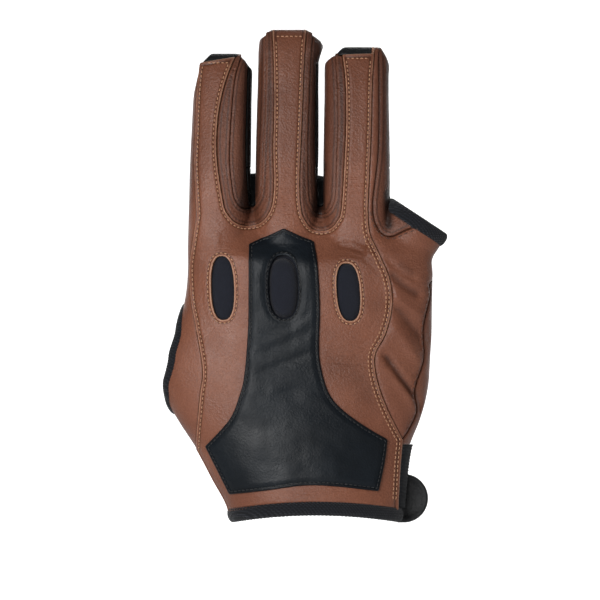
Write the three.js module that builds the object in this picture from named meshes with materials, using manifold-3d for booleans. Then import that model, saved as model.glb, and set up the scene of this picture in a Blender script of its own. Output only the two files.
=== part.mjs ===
// Right-hand leather archery glove, worn form, seen from the back of the hand.
// Millimetres, +Z along the fingers, back of the hand towards -Y, little finger towards +X.
// The origin is the centre of the wrist opening.
import * as THREE from 'three';
import { mergeVertices } from 'three/addons/utils/BufferGeometryUtils.js';
import Module from 'manifold-3d';

const wasm = await Module();
wasm.setup();

// Driving dimensions
const leather = 1.5;
const patchLeather = 1.3;
const fabric = 0.9;
const gap = 0.3;
const hand = { halfWidth: 50, height: 125, backDepth: 18, palmDepth: 22 };
const farSide = 1.6 * hand.halfWidth;
const farTop = 2 * hand.height;

// Places named Share are shares of hand.halfWidth across, of hand.height up,
// and of hand.backDepth or hand.palmDepth through the hand.
const fingers = {
  index: { width: 24, depth: 21, length: 87, tipSeam: 2.4, rootShare: -0.792, tipShare: -0.74 },
  middle: { width: 24.8, depth: 22, length: 96.6, tipSeam: 1.4, rootShare: -0.248, tipShare: -0.214 },
  ring: { width: 26.4, depth: 21.5, length: 89.6, tipSeam: 3.2, rootShare: 0.326, tipShare: 0.328 },
};
const curl = 8;
const stall = { baseShare: 0.784, middleY: -2, splitY: -1, round: 2.3 };
const pinky = {
  width: 22.3, depth: 22, sleeve: 26, acrossShare: 0.832, upShare: 0.9304, lean: 0.581, round: 2.1,
};
const thumb = {
  acrossHalf: 11.4, upHalf: 20.5, start: 9.5, skew: 3.8,
  acrossShare: -0.752, throughShare: 0.0273, upShare: 0.5, turn: 0.3,
};
const binding = { wide: 5.6, thick: 3.2, thumbWide: 4, round: 2.6 };
const wristArch = { edge: -0.5, rise: 3.4, spanShare: 0.72 };
const web = { topShare: 1.112, bottomShare: 0.768 };
const windows = {
  index: { wide: 9.4, tall: 25.6, acrossShare: -0.748, upShare: 0.7264, lean: -0.03 },
  middle: { wide: 11.6, tall: 24.6, acrossShare: -0.26, upShare: 0.7296, lean: -0.02 },
  ring: { wide: 9.4, tall: 23.2, acrossShare: 0.258, upShare: 0.7136, lean: -0.07 },
};
const windowRound = 0.8;
const insertLap = 2.6;
const indexSide = { widthShare: 0.22, reach: 5 };
const slit = { topShare: 0.224, backShare: -0.361, palmShare: 0.318, backTurn: -0.42, palmTurn: 0.36 };
const strap = {
  thick: 1.6, wide: 19.8, upShare: 0.0496, fromTurn: -0.62, leaveTurn: -0.22, outTurn: 0.2, toTurn: 0.9,
};
const tab = { radius: 9.8, thick: 2.2, out: 0.6, throughShare: 0.418 };

// Numbers of facets
const sides = { hand: 26, stall: 16, pinky: 14, bead: 6, window: 16, thumb: 32 };
const steps = {
  bead: 26, strap: 20, arch: 16, fork: 8, tab: 12, rightSeam: 14, leftSeam: 10, pinkySeam: 8, sideSeam: 9,
};

// Sections of the hand, from the wrist to the finger forks.
// up is a share of hand.height, left and right of hand.halfWidth, back of hand.backDepth, palm of
// hand.palmDepth; rise and slope tip the section towards the palm and the index side.
const handRows = rows(['up', 'left', 'right', 'back', 'palm', 'round', 'rise', 'slope', 'lift'], [
  [-0.064, -0.66, 0.68, 1.14, 1, 2.1, 0, 0, 0],
  [0.02, -0.705, 0.69, 1.14, 1, 2.1, 0, 0, 0],
  [0.112, -0.825, 0.71, 1.1, 1, 2.15, 0, 0, 0],
  [0.208, -0.955, 0.745, 1.06, 1.02, 2.2, 0, 0, 0],
  [0.304, -1.11, 0.835, 1, 1.05, 2.2, 0, 0, 0],
  [0.368, -1.2, 0.882, 0.97, 1.05, 2.2, 0, 0, 0],
  [0.432, -1.245, 0.908, 0.95, 1.02, 2.2, 0, 0, 0],
  [0.504, -1.235, 0.918, 0.93, 0.98, 2.2, 0, 0, 0],
  [0.592, -1.14, 0.93, 0.93, 0.91, 2.3, 0, 0, 0],
  [0.672, -1.06, 0.932, 0.95, 0.82, 2.4, 0, 0, 0],
  [0.768, -1.03, 0.936, 0.97, 0.74, 2.5, 0, 0, 0],
  [0.84, -1.024, 0.91, 0.94, 0.67, 2.5, 0.12, 0, 0],
  [0.896, -1.016, 0.84, 0.88, 0.62, 2.4, 0.3, -0.02, 0],
  [0.952, -1.004, 0.72, 0.8, 0.56, 2.3, 0.5, -0.05, 0],
  [1.0, -0.97, 0.62, 0.68, 0.52, 2.2, 0.75, -0.08, 0.6],
  [1.03, -0.92, 0.57, 0.55, 0.45, 2.2, 0.9, -0.1, 1.3],
]);

// Sections of a finger stall. up is a share of its length, wide and deep of its width and depth.
const stallRows = [
  { up: 0, wide: 1, deep: 1, lift: 0 },
  { up: 0.25, wide: 1, deep: 1, lift: 0 },
  { up: 0.45, wide: 1.02, deep: 1, lift: 0 },
  { up: 0.65, wide: 1, deep: 0.98, lift: 0 },
  { up: 0.8, wide: 0.98, deep: 0.95, lift: 0 },
  { up: 0.9, wide: 0.96, deep: 0.88, lift: 0 },
  { up: 0.955, wide: 0.9, deep: 0.76, lift: 0.3 },
  { up: 0.985, wide: 0.78, deep: 0.6, lift: 0.8 },
  { up: 1, wide: 0.62, deep: 0.42, lift: 1 },
];

// Seams up each stall: shares of the half width either side of its middle line.
// strip is the edge of the back strip, seam the edge between the two side bands.
const stripRows = {
  index: [
    { up: 1.02, stripLeft: -0.72, stripRight: 0.5, seamRight: 0.66 },
    { up: 0.9, stripLeft: -0.82, stripRight: 0.16, seamRight: 0.42 },
    { up: 0.78, stripLeft: -0.86, stripRight: -0.05, seamRight: 0.34 },
    { up: 0.65, stripLeft: -0.86, stripRight: -0.14, seamRight: 0.3 },
    { up: 0.5, stripLeft: -0.87, stripRight: -0.1, seamRight: 0.3 },
    { up: 0.37, stripLeft: -0.8, stripRight: 0.08, seamRight: 0.4 },
  ],
  middle: [
    { up: 1.02, stripLeft: -0.56, stripRight: 0.56, seamLeft: -0.76, seamRight: 0.77 },
    { up: 0.85, stripLeft: -0.48, stripRight: 0.5, seamLeft: -0.74, seamRight: 0.7 },
    { up: 0.65, stripLeft: -0.44, stripRight: 0.47, seamLeft: -0.75, seamRight: 0.67 },
    { up: 0.5, stripLeft: -0.45, stripRight: 0.44, seamLeft: -0.78, seamRight: 0.66 },
    { up: 0.36, stripLeft: -0.4, stripRight: 0.42, seamLeft: -0.79, seamRight: 0.68 },
  ],
  ring: [
    { up: 1.02, stripLeft: -0.5, stripRight: 0.56, seamLeft: -0.68, seamRight: 0.68 },
    { up: 0.85, stripLeft: -0.35, stripRight: 0.47, seamLeft: -0.6, seamRight: 0.7 },
    { up: 0.65, stripLeft: -0.33, stripRight: 0.44, seamLeft: -0.57, seamRight: 0.7 },
    { up: 0.5, stripLeft: -0.37, stripRight: 0.4, seamLeft: -0.61, seamRight: 0.66 },
    { up: 0.34, stripLeft: -0.42, stripRight: 0.35, seamLeft: -0.62, seamRight: 0.52 },
  ],
};

// Seams of the hand: across is a share of hand.halfWidth, up of hand.height, from the fingers down.
const leftSeam = rows(['across', 'up'], [
  [-0.952, 0.96], [-0.99, 0.86], [-1.012, 0.787], [-1.0, 0.69], [-0.96, 0.6], [-0.906, 0.467],
  [-0.93, 0.37], [-0.96, 0.19], [-0.9, 0.05], [-0.86, -0.12],
]);
const rightSeam = rows(['across', 'up'], [
  [0.414, 0.98], [0.43, 0.902], [0.508, 0.832], [0.592, 0.75], [0.606, 0.662], [0.55, 0.575],
  [0.47, 0.51], [0.49, 0.43], [0.57, 0.34], [0.695, 0.24],
]);
const slitEdge = rows(['across', 'up'], [[0.676, 0.16], [0.66, 0.04], [0.66, -0.12]]);
const sideSeam = rows(['across', 'up'], [
  [1.3, 0.78], [0.95, 0.75], [0.925, 0.7], [0.87, 0.6], [0.872, 0.5], [0.8, 0.4],
  [0.815, 0.33], [0.74, 0.262],
]);
const pinkySeam = rows(['across', 'up'], [
  [0.458, 1.0], [0.462, 0.96], [0.49, 0.925], [0.54, 0.9], [0.61, 0.893], [0.7, 0.908], [0.9, 0.94],
]);
const patchRows = rows(['across', 'up'], [
  [-0.258, 0.917], [-0.537, 0.863], [-0.537, 0.7], [-0.542, 0.59], [-0.571, 0.448], [-0.615, 0.375],
  [-0.69, 0.305], [-0.877, 0.221], [-0.683, 0.068], [-0.4, 0.08], [-0.1, 0.096], [0.15, 0.093],
  [0.492, 0.077], [0.542, 0.173], [0.564, 0.242], [0.373, 0.288], [0.2, 0.34], [0.1, 0.39],
  [0.045, 0.46], [0.022, 0.53], [0.03, 0.66], [0.014, 0.79], [-0.017, 0.871],
]);

// Forks between the fingers, as shares of hand.height: sill is the lowest point of each U and
// spring where its legs start. forkRound holds the exponents of its curve.
const forks = {
  indexMiddle: { outerSill: 0.9256, outerSpring: 1.048, innerSill: 0.9792, innerSpring: 1.08 },
  middleRing: { outerSill: 0.9088, outerSpring: 1.032, innerSill: 0.9624, innerSpring: 1.072 },
};
const forkRound = { across: 0.85, up: 0.9 };

const finishes = {
  brown: { color: 0x7a4f3f, roughness: 0.55 },
  black: { color: 0x24282c, roughness: 0.45 },
  stretch: { color: 0x1b1e28, roughness: 0.95 },
  knit: { color: 0x17181e, roughness: 0.95 },
};

// Tables and curves
function rows(columns, values) {
  return values.map((line) => Object.fromEntries(columns.map((name, i) => [name, line[i]])));
}

function between(table, key, at, column) {
  const high = table.findIndex((row) => row[key] >= at);
  if (high === 0) return table[0][column];
  if (high < 0) return table.at(-1)[column];
  const [low, top] = [table[high - 1], table[high]];
  return THREE.MathUtils.mapLinear(at, low[key], top[key], low[column], top[column]);
}

function seamPoints(table) {
  return table.map((row) => new THREE.Vector2(row.across * hand.halfWidth, row.up * hand.height));
}

function smooth(points, steps) {
  return new THREE.SplineCurve(points).getPoints(steps);
}

// Solids
function solidOf(geometry) {
  geometry.deleteAttribute('normal');
  geometry.deleteAttribute('uv');
  const merged = mergeVertices(geometry, 1e-4);
  return new wasm.Manifold(new wasm.Mesh({
    numProp: 3,
    vertProperties: new Float32Array(merged.attributes.position.array),
    triVerts: new Uint32Array(merged.index.array),
  }));
}

function join(solids) {
  return solids.reduce((whole, part) => whole.add(part));
}

function loft(rings) {
  const around = rings[0].length;
  const points = rings.flat();
  const index = [];
  for (let r = 0; r < rings.length - 1; r += 1) {
    for (let s = 0; s < around; s += 1) {
      const a = r * around + s;
      const b = r * around + (s + 1) % around;
      index.push(a, b, b + around, a, b + around, a + around);
    }
  }
  const last = (rings.length - 1) * around;
  for (let s = 1; s < around - 1; s += 1) {
    index.push(0, s + 1, s, last, last + s, last + s + 1);
  }
  const geometry = new THREE.BufferGeometry().setFromPoints(points);
  geometry.setIndex(index);
  return geometry;
}

function oval(around, round) {
  return Array.from({ length: around }, (_, i) => {
    const turn = (2 * Math.PI * i) / around;
    return new THREE.Vector2(power(Math.cos(turn), 2 / round), power(Math.sin(turn), 2 / round));
  });
}

function power(value, exponent) {
  return Math.sign(value) * Math.abs(value) ** exponent;
}

// A plate with its outline in X and Z, running through Y.
function plate(outline, fromY, toY) {
  const geometry = new THREE.ExtrudeGeometry(new THREE.Shape(outline), {
    depth: toY - fromY, bevelEnabled: false, steps: 1,
  });
  geometry.rotateX(Math.PI / 2);
  geometry.translate(0, toY, 0);
  return solidOf(geometry);
}

// A plate with its outline in Y and Z, running through X.
function crossPlate(outline, fromX, toX) {
  const geometry = new THREE.ExtrudeGeometry(new THREE.Shape(outline), {
    depth: toX - fromX, bevelEnabled: false, steps: 1,
  });
  geometry.applyMatrix4(new THREE.Matrix4().makeBasis(
    new THREE.Vector3(0, 1, 0), new THREE.Vector3(0, 0, 1), new THREE.Vector3(1, 0, 0)));
  geometry.translate(fromX, 0, 0);
  return solidOf(geometry);
}

// An outline moved outwards by a distance, for the clearance between neighbours.
function grown(outline, distance) {
  const outward = THREE.ShapeUtils.isClockWise(outline) ? -distance : distance;
  return outline.map((point, i) => {
    const before = outline.at(i - 1);
    const after = outline[(i + 1) % outline.length];
    const a = point.clone().sub(before).normalize();
    const b = after.clone().sub(point).normalize();
    const bisector = a.clone().add(b).normalize();
    const stretch = 1 / Math.max(0.5, bisector.dot(b));
    return new THREE.Vector2(bisector.y, -bisector.x).multiplyScalar(outward * stretch).add(point);
  });
}

// The hand as one loft
function handSection(row, offset) {
  return {
    z: row.up * hand.height + row.lift * offset,
    left: row.left * hand.halfWidth - offset,
    right: row.right * hand.halfWidth + offset,
    front: -row.back * hand.backDepth - offset,
    rear: row.palm * hand.palmDepth + offset,
    round: row.round,
    rise: row.rise,
    slope: row.slope,
  };
}

function handRing(section) {
  const middleX = (section.left + section.right) / 2;
  const middleY = (section.front + section.rear) / 2;
  return oval(sides.hand, section.round).map((unit) => {
    const x = middleX + (unit.x * (section.right - section.left)) / 2;
    const y = middleY + (unit.y * (section.rear - section.front)) / 2;
    return new THREE.Vector3(x, y, section.z + section.rise * y + section.slope * x);
  });
}

function handSolid(offset) {
  return solidOf(loft(handRows.map((row) => handRing(handSection(row, offset)))));
}

// The hand's section at a height below the forks, and how far a point lies in or out of it.
function handAt(z, offset) {
  const up = z / hand.height;
  const row = { lift: 0, rise: 0, slope: 0, up };
  for (const column of ['left', 'right', 'back', 'palm', 'round']) {
    row[column] = between(handRows, 'up', up, column);
  }
  return handSection(row, offset);
}

function handPoint(turn, z, offset) {
  const section = handAt(z, offset);
  const unit = new THREE.Vector2(
    power(Math.cos(turn), 2 / section.round), power(Math.sin(turn), 2 / section.round));
  return new THREE.Vector3(
    (section.left + section.right) / 2 + (unit.x * (section.right - section.left)) / 2,
    (section.front + section.rear) / 2 + (unit.y * (section.rear - section.front)) / 2, z);
}

function handDepth(point, offset) {
  const s = handAt(point.z, offset);
  const across = Math.abs((2 * point.x - s.left - s.right) / (s.right - s.left));
  const through = Math.abs((2 * point.y - s.front - s.rear) / (s.rear - s.front));
  return across ** s.round + through ** s.round - 1;
}

// Finger stalls: the middle line of each, and its loft
function stallMiddle(finger, along) {
  return {
    x: THREE.MathUtils.lerp(finger.rootShare, finger.tipShare, along) * hand.halfWidth,
    y: stall.middleY + curl * Math.max(0, along) ** 2,
    z: stall.baseShare * hand.height + along * finger.length,
  };
}

function stallSolid(finger, offset) {
  const rings = stallRows.map((row) => {
    const middle = stallMiddle(finger, row.up);
    return oval(sides.stall, stall.round).map((unit) => new THREE.Vector3(
      middle.x + unit.x * ((row.wide * finger.width) / 2 + offset),
      middle.y + unit.y * ((row.deep * finger.depth) / 2 + offset),
      middle.z + row.lift * offset));
  });
  return solidOf(loft(rings));
}

// The short sleeve round the little finger, along its own leaning axis.
const sleeveAcross = new THREE.Vector3(Math.cos(pinky.lean), 0, -Math.sin(pinky.lean));
const sleeveAlong = new THREE.Vector3(Math.sin(pinky.lean), 0, Math.cos(pinky.lean));
const sleeveRim = new THREE.Vector3(
  pinky.acrossShare * hand.halfWidth, 0, pinky.upShare * hand.height);

function sleeveRing(along, offset, around) {
  return oval(around, pinky.round).map((unit) => sleeveRim.clone()
    .addScaledVector(sleeveAlong, along)
    .addScaledVector(sleeveAcross, unit.x * (pinky.width / 2 + offset))
    .add(new THREE.Vector3(0, unit.y * (pinky.depth / 2 + offset), 0)));
}

function sleeveSolid(offset) {
  const stations = [-pinky.sleeve, -pinky.sleeve / 2, 0, binding.wide];
  return solidOf(loft(stations.map((along) => sleeveRing(along, offset, sides.pinky))));
}

function hull(offset) {
  return join([
    handSolid(offset), sleeveSolid(offset),
    ...Object.values(fingers).map((finger) => stallSolid(finger, offset)),
  ]);
}

// Openings for the wrist, the little finger and the thumb
const archHalf = wristArch.spanShare * hand.halfWidth;

function wristEdge(x) {
  const across = THREE.MathUtils.clamp(x, -archHalf, archHalf);
  return wristArch.edge + wristArch.rise * (1 - (across / archHalf) ** 2);
}

function wristCut(above) {
  const edge = Array.from({ length: steps.arch + 1 }, (_, i) => {
    const x = THREE.MathUtils.lerp(-farSide, farSide, i / steps.arch);
    return new THREE.Vector2(x, wristEdge(x) + above);
  });
  const corners = [new THREE.Vector2(farSide, -farSide), new THREE.Vector2(-farSide, -farSide)];
  return plate([...edge, ...corners], -farSide, farSide);
}

// The cut across the sleeve stops at the ring finger's side.
const forkX = fingers.ring.rootShare * hand.halfWidth + fingers.ring.width / 2 + gap;

function pinkyCut(below) {
  const at = (across, along) => {
    const point = sleeveRim.clone();
    point.addScaledVector(sleeveAcross, across);
    point.addScaledVector(sleeveAlong, along);
    return new THREE.Vector2(point.x, point.z);
  };
  const half = pinky.width / 2;
  const left = at(-half - gap, -below);
  const corner = new THREE.Vector2(Math.max(left.x, forkX), left.y);
  const outline = [
    corner, at(half + binding.wide, -below), at(half + binding.wide, pinky.sleeve),
    new THREE.Vector2(forkX, corner.y + pinky.sleeve),
  ];
  return plate(outline, -farSide, farSide);
}

const thumbAcross = new THREE.Vector3(Math.sin(thumb.turn), Math.cos(thumb.turn), 0);
const thumbOut = new THREE.Vector3(-Math.cos(thumb.turn), Math.sin(thumb.turn), 0);
const thumbMiddle = new THREE.Vector3(
  thumb.acrossShare * hand.halfWidth, thumb.throughShare * hand.palmDepth, thumb.upShare * hand.height);

function thumbRay(turn, extra) {
  return thumbMiddle.clone()
    .addScaledVector(thumbAcross, Math.cos(turn) * (thumb.acrossHalf + extra))
    .add(new THREE.Vector3(0, 0, Math.sin(turn) * (thumb.upHalf + extra)));
}

function thumbCut(extra) {
  const turns = Array.from({ length: sides.thumb }, (_, i) => (2 * Math.PI * i) / sides.thumb);
  const outer = turns.map((turn) => thumbRay(turn, extra).addScaledVector(thumbOut, farSide / 2));
  const inner = turns.map((turn) => {
    const start = thumb.start - thumb.skew * Math.cos(turn);
    return thumbRay(turn, extra).addScaledVector(thumbOut, start);
  });
  return solidOf(loft([outer, inner]));
}

// Where a ray from inside the hand leaves the middle of the leather.
function surfaceAlong(start, direction) {
  let near = 0;
  let far = farSide;
  while (far - near > gap / 1000) {
    const middle = (near + far) / 2;
    const inside = handDepth(start.clone().addScaledVector(direction, middle), -leather / 2) < 0;
    [near, far] = inside ? [middle, far] : [near, middle];
  }
  return start.clone().addScaledVector(direction, near);
}

// Bindings: a bead with an oval section swept along a rim, which may close on itself
function bead(rim, outwardAt, wide, thick, closed = true) {
  const count = rim.length;
  const rings = rim.map((point, i) => {
    const after = rim[closed ? (i + 1) % count : Math.min(i + 1, count - 1)];
    const before = closed ? rim.at(i - 1) : rim[Math.max(i - 1, 0)];
    const along = after.clone().sub(before).normalize();
    const outward = outwardAt(point).projectOnPlane(along).normalize();
    const side = along.clone().cross(outward);
    return oval(sides.bead, binding.round).map((unit) => point.clone()
      .addScaledVector(side, (unit.x * wide) / 2)
      .addScaledVector(outward, (unit.y * thick) / 2));
  });
  if (!closed) return solidOf(loft(rings.reverse()));
  const around = sides.bead;
  const index = [];
  for (let r = 0; r < count; r += 1) {
    for (let s = 0; s < around; s += 1) {
      const a = r * around + s;
      const b = r * around + (s + 1) % around;
      const next = (((r + 1) % count) - r) * around;
      index.push(a, b + next, b, a, a + next, b + next);
    }
  }
  const geometry = new THREE.BufferGeometry().setFromPoints(rings.flat());
  geometry.setIndex(index);
  return solidOf(geometry);
}

function handOutward(point) {
  const slopeAlong = (axis) => handDepth(point.clone().addScaledVector(axis, gap), 0)
    - handDepth(point.clone().addScaledVector(axis, -gap), 0);
  return new THREE.Vector3(
    slopeAlong(new THREE.Vector3(1, 0, 0)), slopeAlong(new THREE.Vector3(0, 1, 0)),
    slopeAlong(new THREE.Vector3(0, 0, 1))).normalize();
}

function wristBinding() {
  const lastTurn = 2 * Math.PI + slit.backTurn;
  const rim = Array.from({ length: steps.bead }, (_, i) => {
    const turn = THREE.MathUtils.lerp(slit.palmTurn, lastTurn, i / (steps.bead - 1));
    return handPoint(turn, wristEdge(handPoint(turn, 0, 0).x), -leather / 2);
  });
  return bead(rim, handOutward, binding.wide, binding.thick, false);
}

function thumbBinding() {
  const rim = Array.from({ length: steps.bead }, (_, i) => surfaceAlong(
    thumbRay((-2 * Math.PI * i) / steps.bead, 0), thumbOut));
  return bead(rim, handOutward, binding.thumbWide, binding.thick);
}

function pinkyBinding() {
  const outward = (point) => {
    const spoke = point.clone().sub(sleeveRim);
    return spoke.addScaledVector(sleeveAlong, -spoke.dot(sleeveAlong)).normalize();
  };
  return bead(sleeveRing(0, -leather / 2, steps.bead), outward, binding.wide, binding.thick);
}

// Outlines of the panels, seen from the back of the hand
function stripEdge(name, column) {
  const finger = fingers[name];
  return stripRows[name].map((row) => {
    const middle = stallMiddle(finger, row.up);
    return new THREE.Vector2(middle.x + (row[column] * finger.width) / 2, middle.z);
  });
}

// One side of a fork down to its sill and up the other side.
function forkCurve(left, right, sillShare, springShare) {
  const sill = sillShare * hand.height;
  const spring = springShare * hand.height;
  const middleX = (left.at(-1).x + right.at(-1).x) / 2;
  const halfX = (right.at(-1).x - left.at(-1).x) / 2;
  const arc = Array.from({ length: steps.fork - 1 }, (_, i) => {
    const turn = (Math.PI * (i + 1)) / steps.fork;
    return new THREE.Vector2(
      middleX - halfX * power(Math.cos(turn), forkRound.across),
      spring - (spring - sill) * Math.sin(turn) ** forkRound.up);
  });
  const above = (point) => point.y > spring;
  return [...left.filter(above), ...arc, ...right.filter(above).reverse()];
}

function outerFork([leftName, rightName], fork) {
  return forkCurve(
    stripEdge(leftName, 'stripRight'), stripEdge(rightName, 'stripLeft'), fork.outerSill, fork.outerSpring);
}

function innerFork([leftName, rightName], fork) {
  return forkCurve(
    stripEdge(leftName, 'seamRight'), stripEdge(rightName, 'seamLeft'), fork.innerSill, fork.innerSpring);
}

const outerForkIndex = outerFork(['index', 'middle'], forks.indexMiddle);
const innerForkIndex = innerFork(['index', 'middle'], forks.indexMiddle);
const outerForkRing = outerFork(['middle', 'ring'], forks.middleRing);
const innerForkRing = innerFork(['middle', 'ring'], forks.middleRing);

function backOutline() {
  return [
    ...outerForkIndex, ...outerForkRing,
    ...stripEdge('ring', 'stripRight'), ...smooth(seamPoints(rightSeam), steps.rightSeam),
    ...seamPoints(slitEdge), ...smooth(seamPoints(leftSeam), steps.leftSeam).reverse(),
    ...stripEdge('index', 'stripLeft').reverse(),
  ];
}

function sideOutline() {
  return [
    ...stripEdge('ring', 'seamRight'), ...smooth(seamPoints(pinkySeam), steps.pinkySeam),
    ...smooth(seamPoints(sideSeam), steps.sideSeam),
    ...smooth(seamPoints(rightSeam), steps.rightSeam).reverse(),
    ...stripEdge('ring', 'stripRight').reverse(),
  ];
}

function pinkyOutline() {
  const top = stripEdge('ring', 'seamRight');
  return [
    ...top, ...smooth(seamPoints(pinkySeam), steps.pinkySeam),
    new THREE.Vector2(farSide, hand.height), new THREE.Vector2(farSide, top[0].y),
  ];
}

function windowOutline(opening, extra) {
  const half = opening.wide / 2 + extra;
  const tall = opening.tall / 2 + extra;
  return Array.from({ length: sides.window }, (_, i) => {
    const turn = (2 * Math.PI * i) / sides.window;
    const x = half * power(Math.cos(turn), windowRound);
    const z = tall * power(Math.sin(turn), windowRound);
    return new THREE.Vector2(
      opening.acrossShare * hand.halfWidth + x + opening.lean * z, opening.upShare * hand.height + z);
  });
}

// The surface that parts the back half of the glove from the palm half, up the middle finger.
function splitLine(extra) {
  const offset = extra + stall.splitY - stall.middleY;
  const line = [0, 0.28, 0.5, 0.7, 0.9, 1].map((along) => {
    const middle = stallMiddle(fingers.middle, along);
    return new THREE.Vector2(middle.y + offset, middle.z);
  });
  const foot = new THREE.Vector2(line[0].x, -farSide);
  const head = new THREE.Vector2(line.at(-1).x, farTop);
  return [foot, ...line, head];
}

function backHalf(extra, toX = farSide) {
  const corners = [new THREE.Vector2(-farSide, farTop), new THREE.Vector2(-farSide, -farSide)];
  return crossPlate([...splitLine(extra), ...corners].reverse(), -farSide, toX);
}

// What lies above the tip seam of each finger.
function coverTops(extra) {
  return join(Object.values(fingers).map((finger) => {
    const middle = stallMiddle(finger, 1);
    const reach = finger.width / 2 + leather;
    const seam = middle.z - finger.tipSeam + extra;
    return plate(box(middle.x - reach, middle.x + reach, seam, farTop), -farSide, farSide);
  }));
}

function cover(outline, extra) {
  return plate(extra ? grown(outline, extra) : outline, -farSide, farSide)
    .intersect(backHalf(extra)).subtract(coverTops(extra));
}

// Closure across the slit at the little finger's side of the wrist
function slitCut(backY) {
  const outline = box(backY, slit.palmShare * hand.palmDepth, -farSide, slit.topShare * hand.height);
  return crossPlate(outline, hand.halfWidth / 2, farSide);
}

function strapOffset(turn) {
  const inside = -leather - 3 * gap - strap.thick / 2;
  const outside = gap + strap.thick / 2;
  const share = THREE.MathUtils.smoothstep(turn, strap.leaveTurn, strap.outTurn);
  return THREE.MathUtils.lerp(inside, outside, share);
}

function strapSolid() {
  const low = strap.upShare * hand.height;
  const middle = low + strap.wide / 2;
  const high = low + strap.wide;
  const half = strap.thick / 2;
  const section = rows(['z', 'extra'], [
    [low, -half], [middle, -half], [high, -half], [high, half], [middle, half], [low, half],
  ]);
  const rings = Array.from({ length: steps.strap + 1 }, (_, i) => {
    const turn = THREE.MathUtils.lerp(strap.fromTurn, strap.toTurn, i / steps.strap);
    return section.map(({ z, extra }) => handPoint(turn, z, strapOffset(turn) + extra));
  });
  return solidOf(loft(rings));
}

function tabSolid() {
  const z = strap.upShare * hand.height;
  const x = handAt(z, tab.out).right;
  const y = tab.throughShare * hand.palmDepth;
  const arc = Array.from({ length: steps.tab + 1 }, (_, i) => {
    const turn = Math.PI * (i / steps.tab - 0.5);
    return new THREE.Vector2(x + tab.radius * Math.cos(turn), z + tab.radius * Math.sin(turn));
  });
  const root = x - tab.radius / 2;
  const ends = [new THREE.Vector2(root, z + tab.radius), new THREE.Vector2(root, z - tab.radius)];
  return plate([...arc, ...ends], y - tab.thick / 2, y + tab.thick / 2)
    .subtract(handSolid(strap.thick + 3 * gap));
}

// The palm half of the glove, less the brown side of the index stall
function palmRegion(outline, extra) {
  const { index } = fingers;
  const region = plate(extra ? grown(outline, extra) : outline, -farSide, farSide);
  const side = index.rootShare * hand.halfWidth - index.width * indexSide.widthShare;
  const top = stallMiddle(index, 1).z - index.tipSeam;
  const brownSide = backHalf(indexSide.reach - extra, side - extra)
    .intersect(plate(box(-farSide, farSide, -farSide, top - extra), -farSide, farSide));
  return region.subtract(brownSide);
}

function box(left, right, bottom, top) {
  return [new THREE.Vector2(left, bottom), new THREE.Vector2(right, bottom),
    new THREE.Vector2(right, top), new THREE.Vector2(left, top)];
}

// Build
const rimRoom = binding.wide / 2 + gap;
const openings = join([
  wristCut(rimRoom), pinkyCut(rimRoom), thumbCut(binding.thumbWide / 2 + gap),
  slitCut(slit.backShare * hand.backDepth)]);
const shell = hull(0).subtract(hull(-leather)).subtract(openings);

// Sewn panels, each less the panels before it
const sewn = {
  back_panel: backOutline(),
  gusset_index_middle: [...outerForkIndex, ...innerForkIndex.slice().reverse()],
  gusset_middle_ring: [...outerForkRing, ...innerForkRing.slice().reverse()],
  fourchette_index_middle: innerForkIndex,
  fourchette_middle_ring: innerForkRing,
  side_panel: sideOutline(),
  fourchette_ring_pinky: pinkyOutline(),
};

const pieces = {};
let covered = null;
for (const [name, outline] of Object.entries(sewn)) {
  const whole = shell.intersect(cover(outline, 0));
  pieces[name] = covered ? whole.subtract(covered) : whole;
  covered = covered ? covered.add(cover(outline, gap)) : cover(outline, gap);
}

// The palm half, split between the fingers
function forkMiddle(a, b) {
  const right = (a.rootShare + a.tipShare) * hand.halfWidth + a.width;
  const left = (b.rootShare + b.tipShare) * hand.halfWidth - b.width;
  return (right + left) / 4;
}

const forkOne = forkMiddle(fingers.index, fingers.middle);
const forkTwo = forkMiddle(fingers.middle, fingers.ring);
const webTop = web.topShare * hand.height;
const palmRegions = {
  finger_pad_index: box(-farSide, forkOne, webTop, farTop),
  finger_pad_middle: box(forkOne, forkTwo, webTop, farTop),
  finger_pad_ring: box(forkTwo, farSide, webTop, farTop),
  palm_web: box(-farSide, forkX + gap, web.bottomShare * hand.height, webTop),
};
for (const [name, outline] of Object.entries(palmRegions)) {
  pieces[name] = shell.intersect(palmRegion(outline, 0)).subtract(covered);
  covered = covered.add(palmRegion(outline, gap));
}
pieces.palm_panel = shell.subtract(covered).subtract(slitCut(-hand.backDepth));

// The patch on the back, and the inserts behind the windows
const patchRegion = plate(seamPoints(patchRows), -farSide, farSide);
pieces.back_patch = hull(gap + patchLeather).subtract(hull(gap)).intersect(backHalf(0))
  .intersect(patchRegion).subtract(plate(windowOutline(windows.middle, 0), -farSide, farSide));
const lining = hull(-leather - gap).subtract(hull(-leather - gap - fabric)).intersect(backHalf(0));
for (const [name, opening] of Object.entries(windows)) {
  const hole = plate(windowOutline(opening, 0), -farSide, farSide);
  const lapped = plate(windowOutline(opening, insertLap), -farSide, farSide);
  pieces.back_panel = pieces.back_panel.subtract(hole);
  pieces[`knuckle_insert_${name}`] = lining.intersect(lapped);
}

pieces.thumb_binding = thumbBinding();
pieces.pinky_binding = pinkyBinding();
pieces.wrist_binding = wristBinding();
pieces.closure_strap = strapSolid();
pieces.closure_tab = tabSolid();

const finishOf = {
  back_patch: 'black', palm_web: 'black', finger_pad_index: 'black', finger_pad_middle: 'black',
  finger_pad_ring: 'black', closure_tab: 'black', closure_strap: 'knit', thumb_binding: 'knit',
  pinky_binding: 'knit', wrist_binding: 'knit', knuckle_insert_index: 'stretch',
  knuckle_insert_middle: 'stretch', knuckle_insert_ring: 'stretch',
};

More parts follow.
